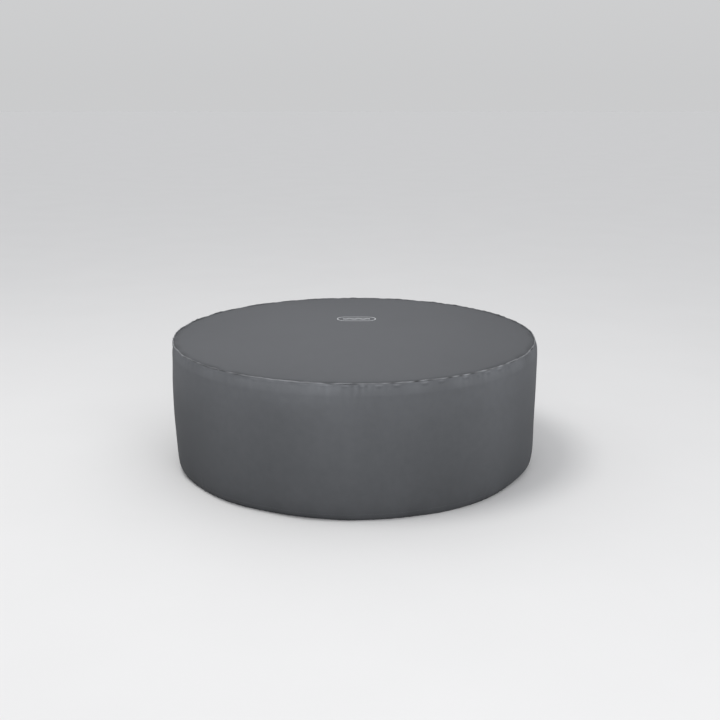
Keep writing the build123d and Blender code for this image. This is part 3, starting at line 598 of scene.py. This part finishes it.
def build_hem():
    """The folded hem with its elastic, from one side of the cut-out round to the other."""
    foot = np.linspace(pi - CUTOUT_ANGLE, CUTOUT_ANGLE + tau, 900)
    rows = np.array([0.0012, 0.005, 0.009, 0.012, 0.015, 0.019, 0.025, 0.036])[:, None]
    face = skirt_radius(foot, rows) - CLOTH - 0.0004
    fold = 0.0012 + 0.0048 * hump(rows, 0.012, 0.006)
    hem = make("cover_hem", [ring_shell(foot, face, face - fold, rows, False)],
               HEM_CLOTH, "cover", ["cover_hem_band"])
    middle = skirt_radius(foot, 0.012) - 0.0046
    elastic = make("cover_elastic", [ring_tube(foot, middle, 0.012, 0.0016, 8, False)],
                   RUBBER_WHITE, "cover", ["cover_hem_elastic"])


def build_piping():
    """The corded seam round the rim."""
    full = np.linspace(0, tau, 1080, endpoint=False)
    wobble = 0.001 * waves(full, 7, 40, 8, 31)
    rise = 0.001 * waves(full, 9, 50, 8, 32)
    thick = PIPING_R + 0.0005 * waves(full, 60, 140, 8, 33)
    cord = ring_tube(full, PIPING_AT[0] + wobble, PIPING_AT[1] + rise, thick, 12)
    piping = make("cover_piping", [cord], PIPING, "cover", ["cover_rim_piping"],
                  tone=piping_painted_highlight)


def cutout_line(inset):
    """The cut-out's outline moved inwards: x and height of its points, from foot to foot."""
    half = CUTOUT_HALF - inset
    legs = np.linspace(0.0005, CUTOUT_SPRING, 24)[:-1]
    turn = np.linspace(0, pi, 120)
    x = np.concatenate([half + 0 * legs, half * np.cos(turn), -half + 0 * legs])
    z = np.concatenate([legs, CUTOUT_SPRING + half * np.sin(turn), legs[::-1]])
    return x, z


def build_cutout_trim():
    """The folded binding round the pump cut-out."""
    rows = []
    for inset, depth in ((0.004, 0.0005), (0.004, 0.0055), (0.0006, 0.0066), (-0.003, 0.006),
                         (-0.003, 0.0048), (-0.0035, 0.0), (-0.003, -0.0008), (0.0015, -0.001)):
        x, z = cutout_line(inset)
        theta = np.arccos(x / CUTOUT_R)
        rows.append(polar(skirt_radius(theta, z) - depth, theta, z))
    trim = swept(np.array(rows), np.arange(len(x) + 1) * 0.005)
    make("cover_cutout_trim", [trim], TRIM, "cover", ["cover_cutout_binding"])


def build_cover_stitches():
    """Stitching under the seam, along the hem and on the top's edge."""
    round_top = np.arange(0, tau, 0.0075 / RIM_R)
    foot = np.arange(pi - CUTOUT_ANGLE + 0.006, CUTOUT_ANGLE + tau - 0.006, 0.0085 / RIM_R)
    rows = [stitches(polar(skirt_radius(theta, z), theta, z), *ways(theta))
            for theta, z in ((round_top, 0.6765), (foot, 0.034))]
    make("cover_stitches", rows, THREAD, "cover")
    middle = polar(0.974, round_top, 0.0)
    middle[:, 2] = top_height(*middle.T[:2])
    along = ways(round_top)[0]
    up = np.zeros_like(along) + (0, 0, 1)
    make("cover_top_stitches", [stitches(middle, along, up)], THREAD, "cover")


def build_print():
    """A plain water mark: two waves in a rounded frame."""
    x0, y0 = PRINT_AT
    half_x, half_y = PRINT_HALF
    corner = 0.048
    outline = []
    for cx, cy, start in ((1, -1, -pi / 2), (1, 1, 0), (-1, 1, pi / 2), (-1, -1, pi)):
        for turn in np.linspace(start, start + pi / 2, 12):
            outline.append((x0 + cx * (half_x - corner - 0.003) + corner * cos(turn),
                            y0 + cy * (half_y - corner - 0.003) + corner * sin(turn)))
    low, high = above(top_height, -0.0002), above(top_height, 0.0004)
    parts = [strip(outline, 0.006, low, high, True)]
    for row in (-1, 1):
        xs = np.linspace(-0.078, 0.078, 60)
        line = np.stack([x0 + xs, y0 + 0.01 * row + 0.006 * np.sin(xs * tau / 0.052)], 1)
        parts.append(strip(line, 0.007, low, high, False))
    make("cover_print", parts, INK, "cover", ["cover_label"])


# ---- inflatable lid
LID_R, LID_EDGE_Z, LID_LOW, LID_TOP_Z = 0.929, 0.65575, 0.63, 0.692
LID_SHOULDER_R, LID_SHOULDER_Z = 0.893, 0.6815
LID_ARC_R, LID_ARC_AT = 0.02721, 0.90179
LID_VALVE = (0.0, -0.6, 0.631)
STRAPS = (200, 250, 290, 340)
TAPE = 0.0015


def lid_swell(radius):
    """Half height of the lid's rounded edge above or below its middle."""
    return np.sqrt(np.maximum(LID_ARC_R**2 - (radius - LID_ARC_AT) ** 2, 0))


def lid_top(x, y):
    radius, theta = around_axis(x, y)
    flat = LID_TOP_Z - (LID_TOP_Z - LID_SHOULDER_Z) * (radius / LID_SHOULDER_R) ** 2
    height = np.where(radius < LID_SHOULDER_R, flat, LID_EDGE_Z + lid_swell(radius))
    creases = 0.5 + 0.5 * ripples(theta, radius, 40, 110, 8, 41, 25.0)
    reach = hump(radius, 0.9, 0.035)
    slack = 1 + ripples(theta, radius, 2, 7, 6, 42, 9.0)
    return height - 0.0011 * creases * reach - 0.0008 * slack * (radius / LID_R) ** 2


def lid_bottom(x, y):
    radius, theta = around_axis(x, y)
    height = np.where(radius < LID_SHOULDER_R, LID_LOW, LID_EDGE_Z - lid_swell(radius))
    height = np.maximum(height, LID_LOW)
    creases = 0.5 + 0.5 * ripples(theta, radius, 30, 90, 8, 43, 25.0)
    return height + 0.001 * creases * hump(radius, 0.88, 0.04)


def lid_levels(edge):
    """Rings of the lid's round sheets, close together round the edge."""
    turn = np.linspace(-0.33, pi / 2, 12)
    rim = LID_ARC_AT + LID_ARC_R * np.sin(turn) - (LID_R - edge)
    return [(np.linspace(0.03, 0.15, 4), 40), (np.linspace(0.2, 0.6, 9), 120),
            (np.linspace(0.63, 0.885, 12), 360), (rim, 720)]


def lid_strap(angle):
    """A strap hanging from the lid's edge at an angle in degrees."""
    low, high = 0.352, LID_EDGE_Z + 0.009
    along, away = ways(radians(angle))
    height = np.linspace(low, high, 60)
    swell = 0.0012 * np.sin(pi * (height - low) / (high - low))
    loop = []
    for across, depth in ((-0.012, 0), (0.012, 0), (0.012, 0.0013), (-0.012, 0.0013)):
        line = (LID_R + TAPE + depth + swell)[:, None] * away + across * along
        line[:, 2] = height
        loop.append(line)
    return swept(np.array(loop), np.append(height, high))


def tube_piece(centre, direction, radius, length, sides=32):
    """A closed cylinder whose middle is at centre, used to cut round holes."""
    axis = Vector(direction).normalized()
    side = axis.orthogonal().normalized()
    other = np.array(axis.cross(side))
    axis, side, centre = np.array(axis), np.array(side), np.array(centre, float)
    turn = np.linspace(0, tau, sides, endpoint=False)[:, None]
    ring = centre + radius * (np.cos(turn) * side + np.sin(turn) * other)
    points = np.concatenate([ring - axis * length / 2, ring + axis * length / 2])
    faces = [[k, (k + 1) % sides, sides + (k + 1) % sides, sides + k] for k in range(sides)]
    faces += [list(range(sides))[::-1], list(range(sides, 2 * sides))]
    return points, faces, np.zeros((6 * sides, 2))


def cut(obj, holes):
    """Cuts round holes in an object."""
    tool = make("hole_tool", [tube_piece(*hole) for hole in holes], obj.data.materials[0], "tub")
    modifier = obj.modifiers.new("holes", "BOOLEAN")
    modifier.object = tool
    modifier.operation = "DIFFERENCE"
    modifier.solver = "EXACT"
    with bpy.context.temp_override(object=obj):
        bpy.ops.object.modifier_apply(modifier="holes")
    bpy.data.objects.remove(tool)
    obj.data.set_sharp_from_angle(angle=SHARP)


def within(surface, depth):
    """The lid's skin, drawn in at the edge and moved by a depth, for its air bag."""
    def height(x, y):
        grow = 1 + 0.004 / np.maximum(np.hypot(x, y), 0.4)
        return surface(x * grow, y * grow) + depth
    return height


def build_lid_skins():
    """The lid's cloth, the foil under it and the air bag between them."""
    levels = lid_levels(LID_R)
    top = make("lid_top_cloth", [disc(levels, lid_top, above(lid_top, -0.0012))],
               LID_CLOTH, "lid", ["lid_top_skin"])
    under = make("lid_under_foil", [disc(levels, above(lid_bottom, 0.0012), lid_bottom)],
                 FOIL, "lid", ["lid_bottom_skin"])
    cut(under, [(LID_VALVE, (0, 0, 1), 0.024, 0.03)])
    bladder = disc(lid_levels(LID_R - 0.004), within(lid_top, -0.0032), within(lid_bottom, 0.0032))
    bag = make("lid_air_bag", [bladder], BLADDER, "lid", ["lid_bladder"])
    cut(bag, [(LID_VALVE, (0, 0, 1), 0.0132, 0.03)])


def edge_band(start, end, half, seed):
    """A tape round the lid's edge between two angles in degrees."""
    theta = np.linspace(radians(start), radians(end), int((end - start) * 4))
    rows = np.linspace(-half, half, 7)[:, None]
    curl = 0.00025 * ripples(theta, rows, 40, 120, 6, seed, 90.0)
    face = LID_R + TAPE + curl * np.abs(rows) / half
    return ring_shell(theta, face, face - 0.001, rows + LID_EDGE_Z, False)


def edge_row(start, end, z, step):
    """Points along the lid's edge, with the directions along and out of it."""
    theta = np.arange(radians(start), radians(end), step / LID_R)
    return polar(LID_R + TAPE, theta, z), *ways(theta)


def build_lid_edge():
    """The zip's tape and teeth, the binding, their stitching and the straps."""
    tape = make("lid_zip_cloth", [edge_band(15, 165, 0.011, 44)], WEBBING, "lid",
                ["lid_zip_tape"])
    teeth = []
    for side, shift in ((-1, 0.0), (1, 0.0013)):
        middle, along, away = edge_row(16, 164, LID_EDGE_Z + side * 0.0008, 0.0026)
        up = np.zeros_like(along) + (0, 0, 1)
        middle += along * shift + away * 0.0004
        teeth.append(stitches(middle, up, away, 0.0026, 0.0014, 0.0016))
    make("lid_zip_coil", teeth, CAD_MATERIALS["fitting_dark"], "lid",
         ["lid_zip_teeth"])
    binding = make("lid_binding", [edge_band(166, 374, 0.009, 45)], WEBBING, "lid",
                   ["lid_edge_binding"])
    rows = [stitches(*edge_row(start, end, LID_EDGE_Z + z, 0.007), 0.0045)
            for start, end, away in ((166.2, 373.8, 0.0072), (15.2, 164.8, 0.0092))
            for z in (-away, away)]
    make("lid_stitches", rows, LIGHT_THREAD, "lid")
    webbing = make("lid_webbing", [lid_strap(angle) for angle in STRAPS], WEBBING, "lid",
                   ["lid_straps"])


# ---- inflated tub
WALL_LOW, WALL_HIGH = 0.009, 0.6
BULGE_R, BULGE_Z, BULGE_ARC = 0.925, 0.32, 0.9
INNER_R = 0.7
CREST_R, CREST_Z = 0.79015, 0.6295
RIM_ARC = 0.15249
MAT_R = 0.93
AROUND = np.linspace(0, tau, 504, endpoint=False)
PATCH = 0.0015
PADS = (0, 180, *STRAPS)    # where patches are welded on
PORT_X, PORT_Z, PORT_HOLE = 0.11, 0.2, 0.0262
AIR_PORT_Z, AIR_PORT_HOLE = 0.095, 0.0202
DRAIN_ANGLE, DRAIN_Z, DRAIN_HOLE = radians(232.5), 0.032, 0.0143
VALVE_ANGLE, VALVE_Z, VALVE_HOLE, VALVE_RISE = radians(52.5), 0.5155, 0.0142, 0.228


def web_creases(theta):
    """How far the skin is drawn in at each angle: 1 over a web, 0 halfway between two."""
    drawn = 1 - np.abs(np.sin(12 * theta)) ** 0.55
    for angle in PADS:
        drawn = drawn * (1 - 0.85 * near(theta, angle, 7))
    return drawn * (1 - near(theta, 90, 9))


def web_reach(z):
    return smooth((z - 0.03) / 0.06) * smooth((0.592 - z) / 0.06)


def plain_wall(z):
    return BULGE_R - BULGE_ARC + np.sqrt(BULGE_ARC**2 - (z - BULGE_Z) ** 2)


def wall_ends(z):
    """How much the skin puckers at its upper and lower welds."""
    return np.exp(-(WALL_HIGH - z) / 0.02) + np.exp(-(z - WALL_LOW) / 0.03)


def wall_face(theta, z):
    puckers = 0.5 + 0.5 * ripples(theta, z, 90, 170, 7, 51, 30.0)
    drawn = 0.0085 * web_creases(theta) * web_reach(z)
    return plain_wall(z) - drawn - 0.0012 * puckers * wall_ends(z)


def liner_face(theta, z):
    puckers = 0.5 + 0.5 * ripples(theta, z, 70, 150, 7, 52, 30.0)
    drawn = 0.0075 * web_creases(theta) * web_reach(z) * smooth((z - 0.125) / 0.05)
    return INNER_R + drawn + 0.001 * puckers * wall_ends(z)


def cushion_top(radius, theta):
    height = CREST_Z - RIM_ARC + np.sqrt(RIM_ARC**2 - (radius - CREST_R) ** 2)
    puckers = 0.5 + 0.5 * ripples(theta, radius, 60, 140, 8, 53, 40.0)
    ends = np.exp(-(radius - INNER_R) / 0.018) + np.exp(-(0.8803 - radius) / 0.018)
    return height - 0.0015 * puckers * ends * smooth((height - WALL_HIGH) / 0.004)


def patch(angle, half_angle, low, high):
    """A welded vinyl patch with rounded corners on the outer wall."""
    turn = np.linspace(-1, 1, 41)
    theta = radians(angle) + radians(half_angle) * turn
    half, middle = (high - low) / 2, (high + low) / 2
    half = half * np.maximum(1 - np.abs(turn) ** 10, 0.02) ** 0.14
    heights = middle + np.linspace(-1, 1, 14)[:, None] * half
    face = plain_wall(heights) + PATCH
    return ring_shell(theta, face, face - PATCH * 0.9, heights, False)


def wall_skin(surface, rows, outside, inside):
    """One of the wall's two skins, between two distances from a surface."""
    heights = np.linspace(WALL_LOW, WALL_HIGH, rows)[:, None]
    face = surface(AROUND, heights)
    return ring_shell(AROUND, face + outside, face + inside, heights, True)


def radial_hole(radius, angle, z, size, length, rise=0.0, sides=32):
    """A round hole that points outwards: place, direction, radius, length and sides."""
    place = (radius * cos(angle), radius * sin(angle), z)
    return place, (cos(angle), sin(angle), rise), size, length, sides


def port_holes(y, length, air_y, air_length):
    """The holes of the two water ports and the air port through one skin."""
    holes = [((x, y, PORT_Z), (0, 1, 0), PORT_HOLE, length) for x in (-PORT_X, PORT_X)]
    return [*holes, ((0, air_y, AIR_PORT_Z), (0, 1, 0), AIR_PORT_HOLE, air_length)]


def build_wall():
    """The wall's outer and inner skins, with the holes for the ports, the drain and the valve."""
    wall = make("tub_outer_wall", [wall_skin(wall_face, 44, 0.0, -0.001)],
                OUTER_VINYL, "tub", ["outer_wall_skin"])
    cut(wall, [*port_holes(0.9, 0.12, 0.89, 0.12),
               radial_hole(0.875, DRAIN_ANGLE, DRAIN_Z, DRAIN_HOLE, 0.08),
               radial_hole(0.9, VALVE_ANGLE, VALVE_Z, VALVE_HOLE, 0.08, VALVE_RISE)])

    liner = make("tub_inner_wall", [wall_skin(liner_face, 40, 0.001, 0.0)],
                 INNER_VINYL, "tub", ["inner_wall_skin"])
    cut(liner, [*port_holes(0.7, 0.09, 0.7, 0.05),
                radial_hole(0.7, DRAIN_ANGLE, DRAIN_Z, DRAIN_HOLE, 0.07)])


def build_rim_and_base():
    """The rim's cushion and the ring under the wall."""
    turn = np.linspace(-1, 1, 25)[:, None]
    radius = CREST_R + 0.09015 * np.sin(turn * pi / 2)
    top = cushion_top(radius, AROUND)
    under = polar(radius, AROUND, top - 0.0012)
    points = np.concatenate([under, polar(radius, AROUND, top)[::-1]])
    ends = np.append(AROUND, tau) * CREST_R
    cushion = swept(points, ends, np.concatenate([radius, radius[::-1]]), True)
    rim = make("tub_rim_cushion", [cushion], RIM_VINYL, "tub", ["rim_panel"])
    radius = np.array([0.8695, 0.8695, 0.7003, 0.7003])[:, None]
    height = np.array([0.0062, 0.0088, 0.0088, 0.0062])[:, None]
    base = swept(polar(radius, AROUND, height), ends, radius, True)
    ring = make("tub_base_ring", [base], OUTER_VINYL, "tub", ["base_ring_panel"])


def floor_top(x, y):
    """The floor's upper face, quilted and a little uneven."""
    radius, theta = around_axis(x, y)
    pads = np.cos(x * tau / 0.14) * np.cos(y * tau / 0.14)
    return 0.0082 + 0.0006 * pads + 0.0005 * ripples(theta, radius, 2, 9, 6, 54, 9.0)


def mat_top(x, y):
    """The mat's upper face, rounded off at its edge."""
    edge = np.clip((MAT_R - np.hypot(x, y)) / 0.003, 0, 1)
    return 0.0038 + 0.0021 * np.sqrt(1 - (1 - edge) ** 2)


def build_floor():
    """The floor and the foam mat under the tub."""
    levels = [(np.linspace(0.03, 0.15, 5), 40), (np.linspace(0.18, 0.68, 22), 120),
              ([0.692, 0.6995], 360)]
    floor = make("tub_floor", [disc(levels, floor_top, lambda x, y: 0.0062 + 0 * x)],
                 INNER_VINYL, "tub", ["floor_sheet"])
    levels = [(np.linspace(0.03, 0.15, 3), 40), (np.linspace(0.2, 0.8, 8), 120),
              ([0.9, 0.92, 0.927, 0.9295, MAT_R], 360)]
    mat = make("tub_mat", [disc(levels, mat_top, lambda x, y: 0 * x)], MAT_FOAM, "tub",
               ["ground_mat"])


def build_webs():
    """The upright webs that tie the wall's two skins together, with none behind the ports."""
    parts = []
    heights = np.linspace(0.045, 0.57, 22)[:, None]
    share = np.linspace(0, 1, 6)
    for number in range(24):
        angle = radians(15 * number)
        if number == 6:
            continue
        start = liner_face(angle, heights) + 0.0016
        end = wall_face(angle, heights) - 0.0016
        radius = start + (end - start) * share
        drift = 0.002 * np.sin(pi * share) * np.sin(heights * 24 + number) / radius
        sides = [polar(radius, angle + drift + half / radius, heights)
                 for half in (-0.0005, 0.0005)]
        loop = np.concatenate([sides[0], sides[1][::-1]])
        parts.append(swept(loop[::-1], np.append(share, 1.2) * 0.2, loop[::-1, :, 2]))
    webs = make("tub_wall_webs", parts, SCRIM, "tub", ["wall_beams"])


def build_bubble_ring():
    """The rounded channel inside the tub, with a row of air holes."""
    low, high, depth = 0.06, 0.13, 0.042
    middle, half = (low + high) / 2, (high - low) / 2
    arc = (half**2 + depth**2) / (2 * depth)
    swing = pi - np.arcsin(half / arc)
    turn = np.linspace(-swing, swing, 22)[:, None]
    centre = INNER_R - depth + arc
    puckers = 0.0007 * (1 + ripples(AROUND, turn * 0.03, 60, 120, 6, 55, 60.0))
    puckers = puckers * np.abs(np.sin(turn))
    loops = []
    for thick in (0.0, 0.0012):
        size = arc - thick - puckers
        loops.append(polar(centre - size * np.cos(turn), AROUND, middle + size * np.sin(turn)))
    loop = np.concatenate([loops[0], loops[1][::-1]])
    ring = swept(loop[::-1], np.append(AROUND, tau) * INNER_R, loop[::-1, :, 2], True)
    channel = make("tub_bubble_channel", [ring], INNER_VINYL, "tub", ["bubble_ring"])
    cut(channel, [radial_hole(0.66, (number + 0.5) * tau / 24, middle, 0.003, 0.03, sides=12)
                  for number in range(24)])


def build_patches_and_seams():
    """The patches under the handles and the buckles, and the wall's twelve welded seams."""
    patches = [patch(a, 13, 0.388, 0.452) for a in (0, 180)]
    made = make("handle_patch_vinyl", patches, PATCH_VINYL, "tub", ["handle_patches"])
    patches = [patch(a, 4.5, 0.284, 0.354) for a in STRAPS]
    made = make("buckle_patch_vinyl", patches, PATCH_VINYL, "tub", ["buckle_patches"])

    seams = []
    heights = np.linspace(0.014, 0.594, 40)
    for number in range(12):
        angle = radians(15 + 30 * number)
        loop = []
        for side, lift in ((-0.005, -0.0003), (0.005, -0.0003), (0.005, 0.0006), (-0.005, 0.0006)):
            theta = angle + side / 0.9
            loop.append(polar(wall_face(theta, heights) + lift, theta, heights))
        seams.append(swept(np.array(loop), np.append(heights, 0.6)))
    make("tub_wall_seams", seams, PATCH_VINYL, "tub")


def build_handles():
    """The two carry handles, bowed out between their sewn ends, and their stitching."""
    foot, reach, half = 0.9175, 0.944, 0.08
    arc = (half**2 + (reach - foot) ** 2) / (2 * (reach - foot))
    swing = np.arcsin(half / arc)
    turn = np.linspace(-swing, swing, 41)
    ends = np.linspace(0.003, 0.03, 8)
    outer = plain_wall(0.42) + PATCH + 0.0002
    sewn = np.sqrt(outer**2 - (half + ends) ** 2)
    x = np.concatenate([sewn[::-1], reach - arc + arc * np.cos(turn) - 0.0008, sewn])
    y = np.concatenate([-half - ends[::-1], arc * np.sin(turn), half + ends])
    radius, theta = around_axis(x, y)
    roll = 0.0015 * np.cos(np.linspace(-pi / 2, pi / 2, len(x)))
    handles, rows = [], []
    for facing in (0, pi):
        loop = [polar(radius + depth - roll, theta + facing, height)
                for height, depth in ((0.401, 0.0016), (0.439, 0.0016), (0.439, 0), (0.401, 0))]
        handles.append(swept(np.array(loop), np.arange(len(x) + 1) * 0.005))
        rows += [(side * (half + 0.016) / outer + facing, z)
                 for side in (-1, 1) for z in np.linspace(0.405, 0.435, 7)]
    webbing = make("handle_webbing", handles, WEBBING, "tub", ["carry_handles"])
    place, z = np.array(rows).T
    middle = polar(plain_wall(z) + PATCH + 0.0018, place, z)
    make("handle_stitches", [stitches(middle, *ways(place), 0.018)], LIGHT_THREAD, "tub")


# ---- CAD pieces that show
def paint_cad():
    """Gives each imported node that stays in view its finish."""
    slots = {s["node"]: s["material_slot"] for s in frame["record"]["subparts"]}
    for name, obj in frame["nodes"].items():
        finish = CAD_MATERIALS.get(slots[name])
        if finish:
            obj.data.materials.clear()
            obj.data.materials.append(finish)


# ---- stage
WORLD_LOW, WORLD_HIGH = 0.605, 0.89
LIGHTS = (
    ("key", (-1.7, -1.2, 6.4), 2.4, 135, (1.0, 0.99, 0.97)),
    ("fill", (3.2, -6.6, 2.8), 4.0, 110, (1.0, 1.0, 1.0)),
)
CAMERA_AT, CAMERA_PITCH, LENS = (0.033, -5.728, 2.069), 14.93, 53.25


def build_ground():
    """A wide pale floor."""
    floor_paint = Shader("floor", (0.76, 0.76, 0.765), 0.85)
    floor_paint.tint(floor_paint.to_range(floor_paint.noise(1.5, 3), 0.3, 0.7, 0.985, 1.0))
    mesh = bpy.data.meshes.new("floor")
    corners = [(60 * x, 60 * y, 0) for x, y in ((-1, -1), (1, -1), (1, 1), (-1, 1))]
    mesh.from_pydata(corners, [], [(0, 1, 2, 3)])
    mesh.materials.append(floor_paint.material)
    floor = add("floor", mesh)
    floor.location = (0, 0, -0.0005)


def build_sky():
    """An even light from all round, a little brighter from above."""
    world = bpy.data.worlds.new("sky")
    bpy.context.scene.world = world
    world.use_nodes = True
    nodes, links = world.node_tree.nodes, world.node_tree.links
    sky = nodes["Background"]
    place = nodes.new("ShaderNodeTexCoord")
    parts = nodes.new("ShaderNodeSeparateXYZ")
    ramp = nodes.new("ShaderNodeMapRange")
    ramp.inputs["To Min"].default_value = WORLD_LOW
    ramp.inputs["To Max"].default_value = WORLD_HIGH
    links.new(place.outputs["Generated"], parts.inputs["Vector"])
    links.new(parts.outputs["Z"], ramp.inputs["Value"])
    links.new(ramp.outputs["Result"], sky.inputs["Strength"])
    sky.inputs["Color"].default_value = (0.985, 0.99, 1.0, 1)


def build_lamps_and_camera():
    for name, place, size, power, colour in LIGHTS:
        data = bpy.data.lights.new(name, "AREA")
        data.shape = "DISK"
        data.size = size
        data.energy = power
        data.color = colour
        lamp = add(name, data)
        lamp.location = place
        toward = Vector((0, 0, 0.35)) - Vector(place)
        lamp.rotation_euler = toward.to_track_quat("-Z", "Y").to_euler()

    data = bpy.data.cameras.new("camera")
    data.lens = LENS
    camera = add("camera", data)
    camera.location = CAMERA_AT
    camera.rotation_euler = (radians(90 - CAMERA_PITCH), 0, 0)
    bpy.context.scene.camera = camera
    bpy.context.scene.view_settings.view_transform = "Standard"


for build in (build_cover_top, build_skirt, build_hem, build_piping, build_cutout_trim,
              build_cover_stitches, build_print, build_lid_skins, build_lid_edge, build_wall,
              build_rim_and_base, build_floor, build_webs, build_bubble_ring,
              build_patches_and_seams, build_handles, paint_cad, build_ground, build_sky,
              build_lamps_and_camera):
    build()
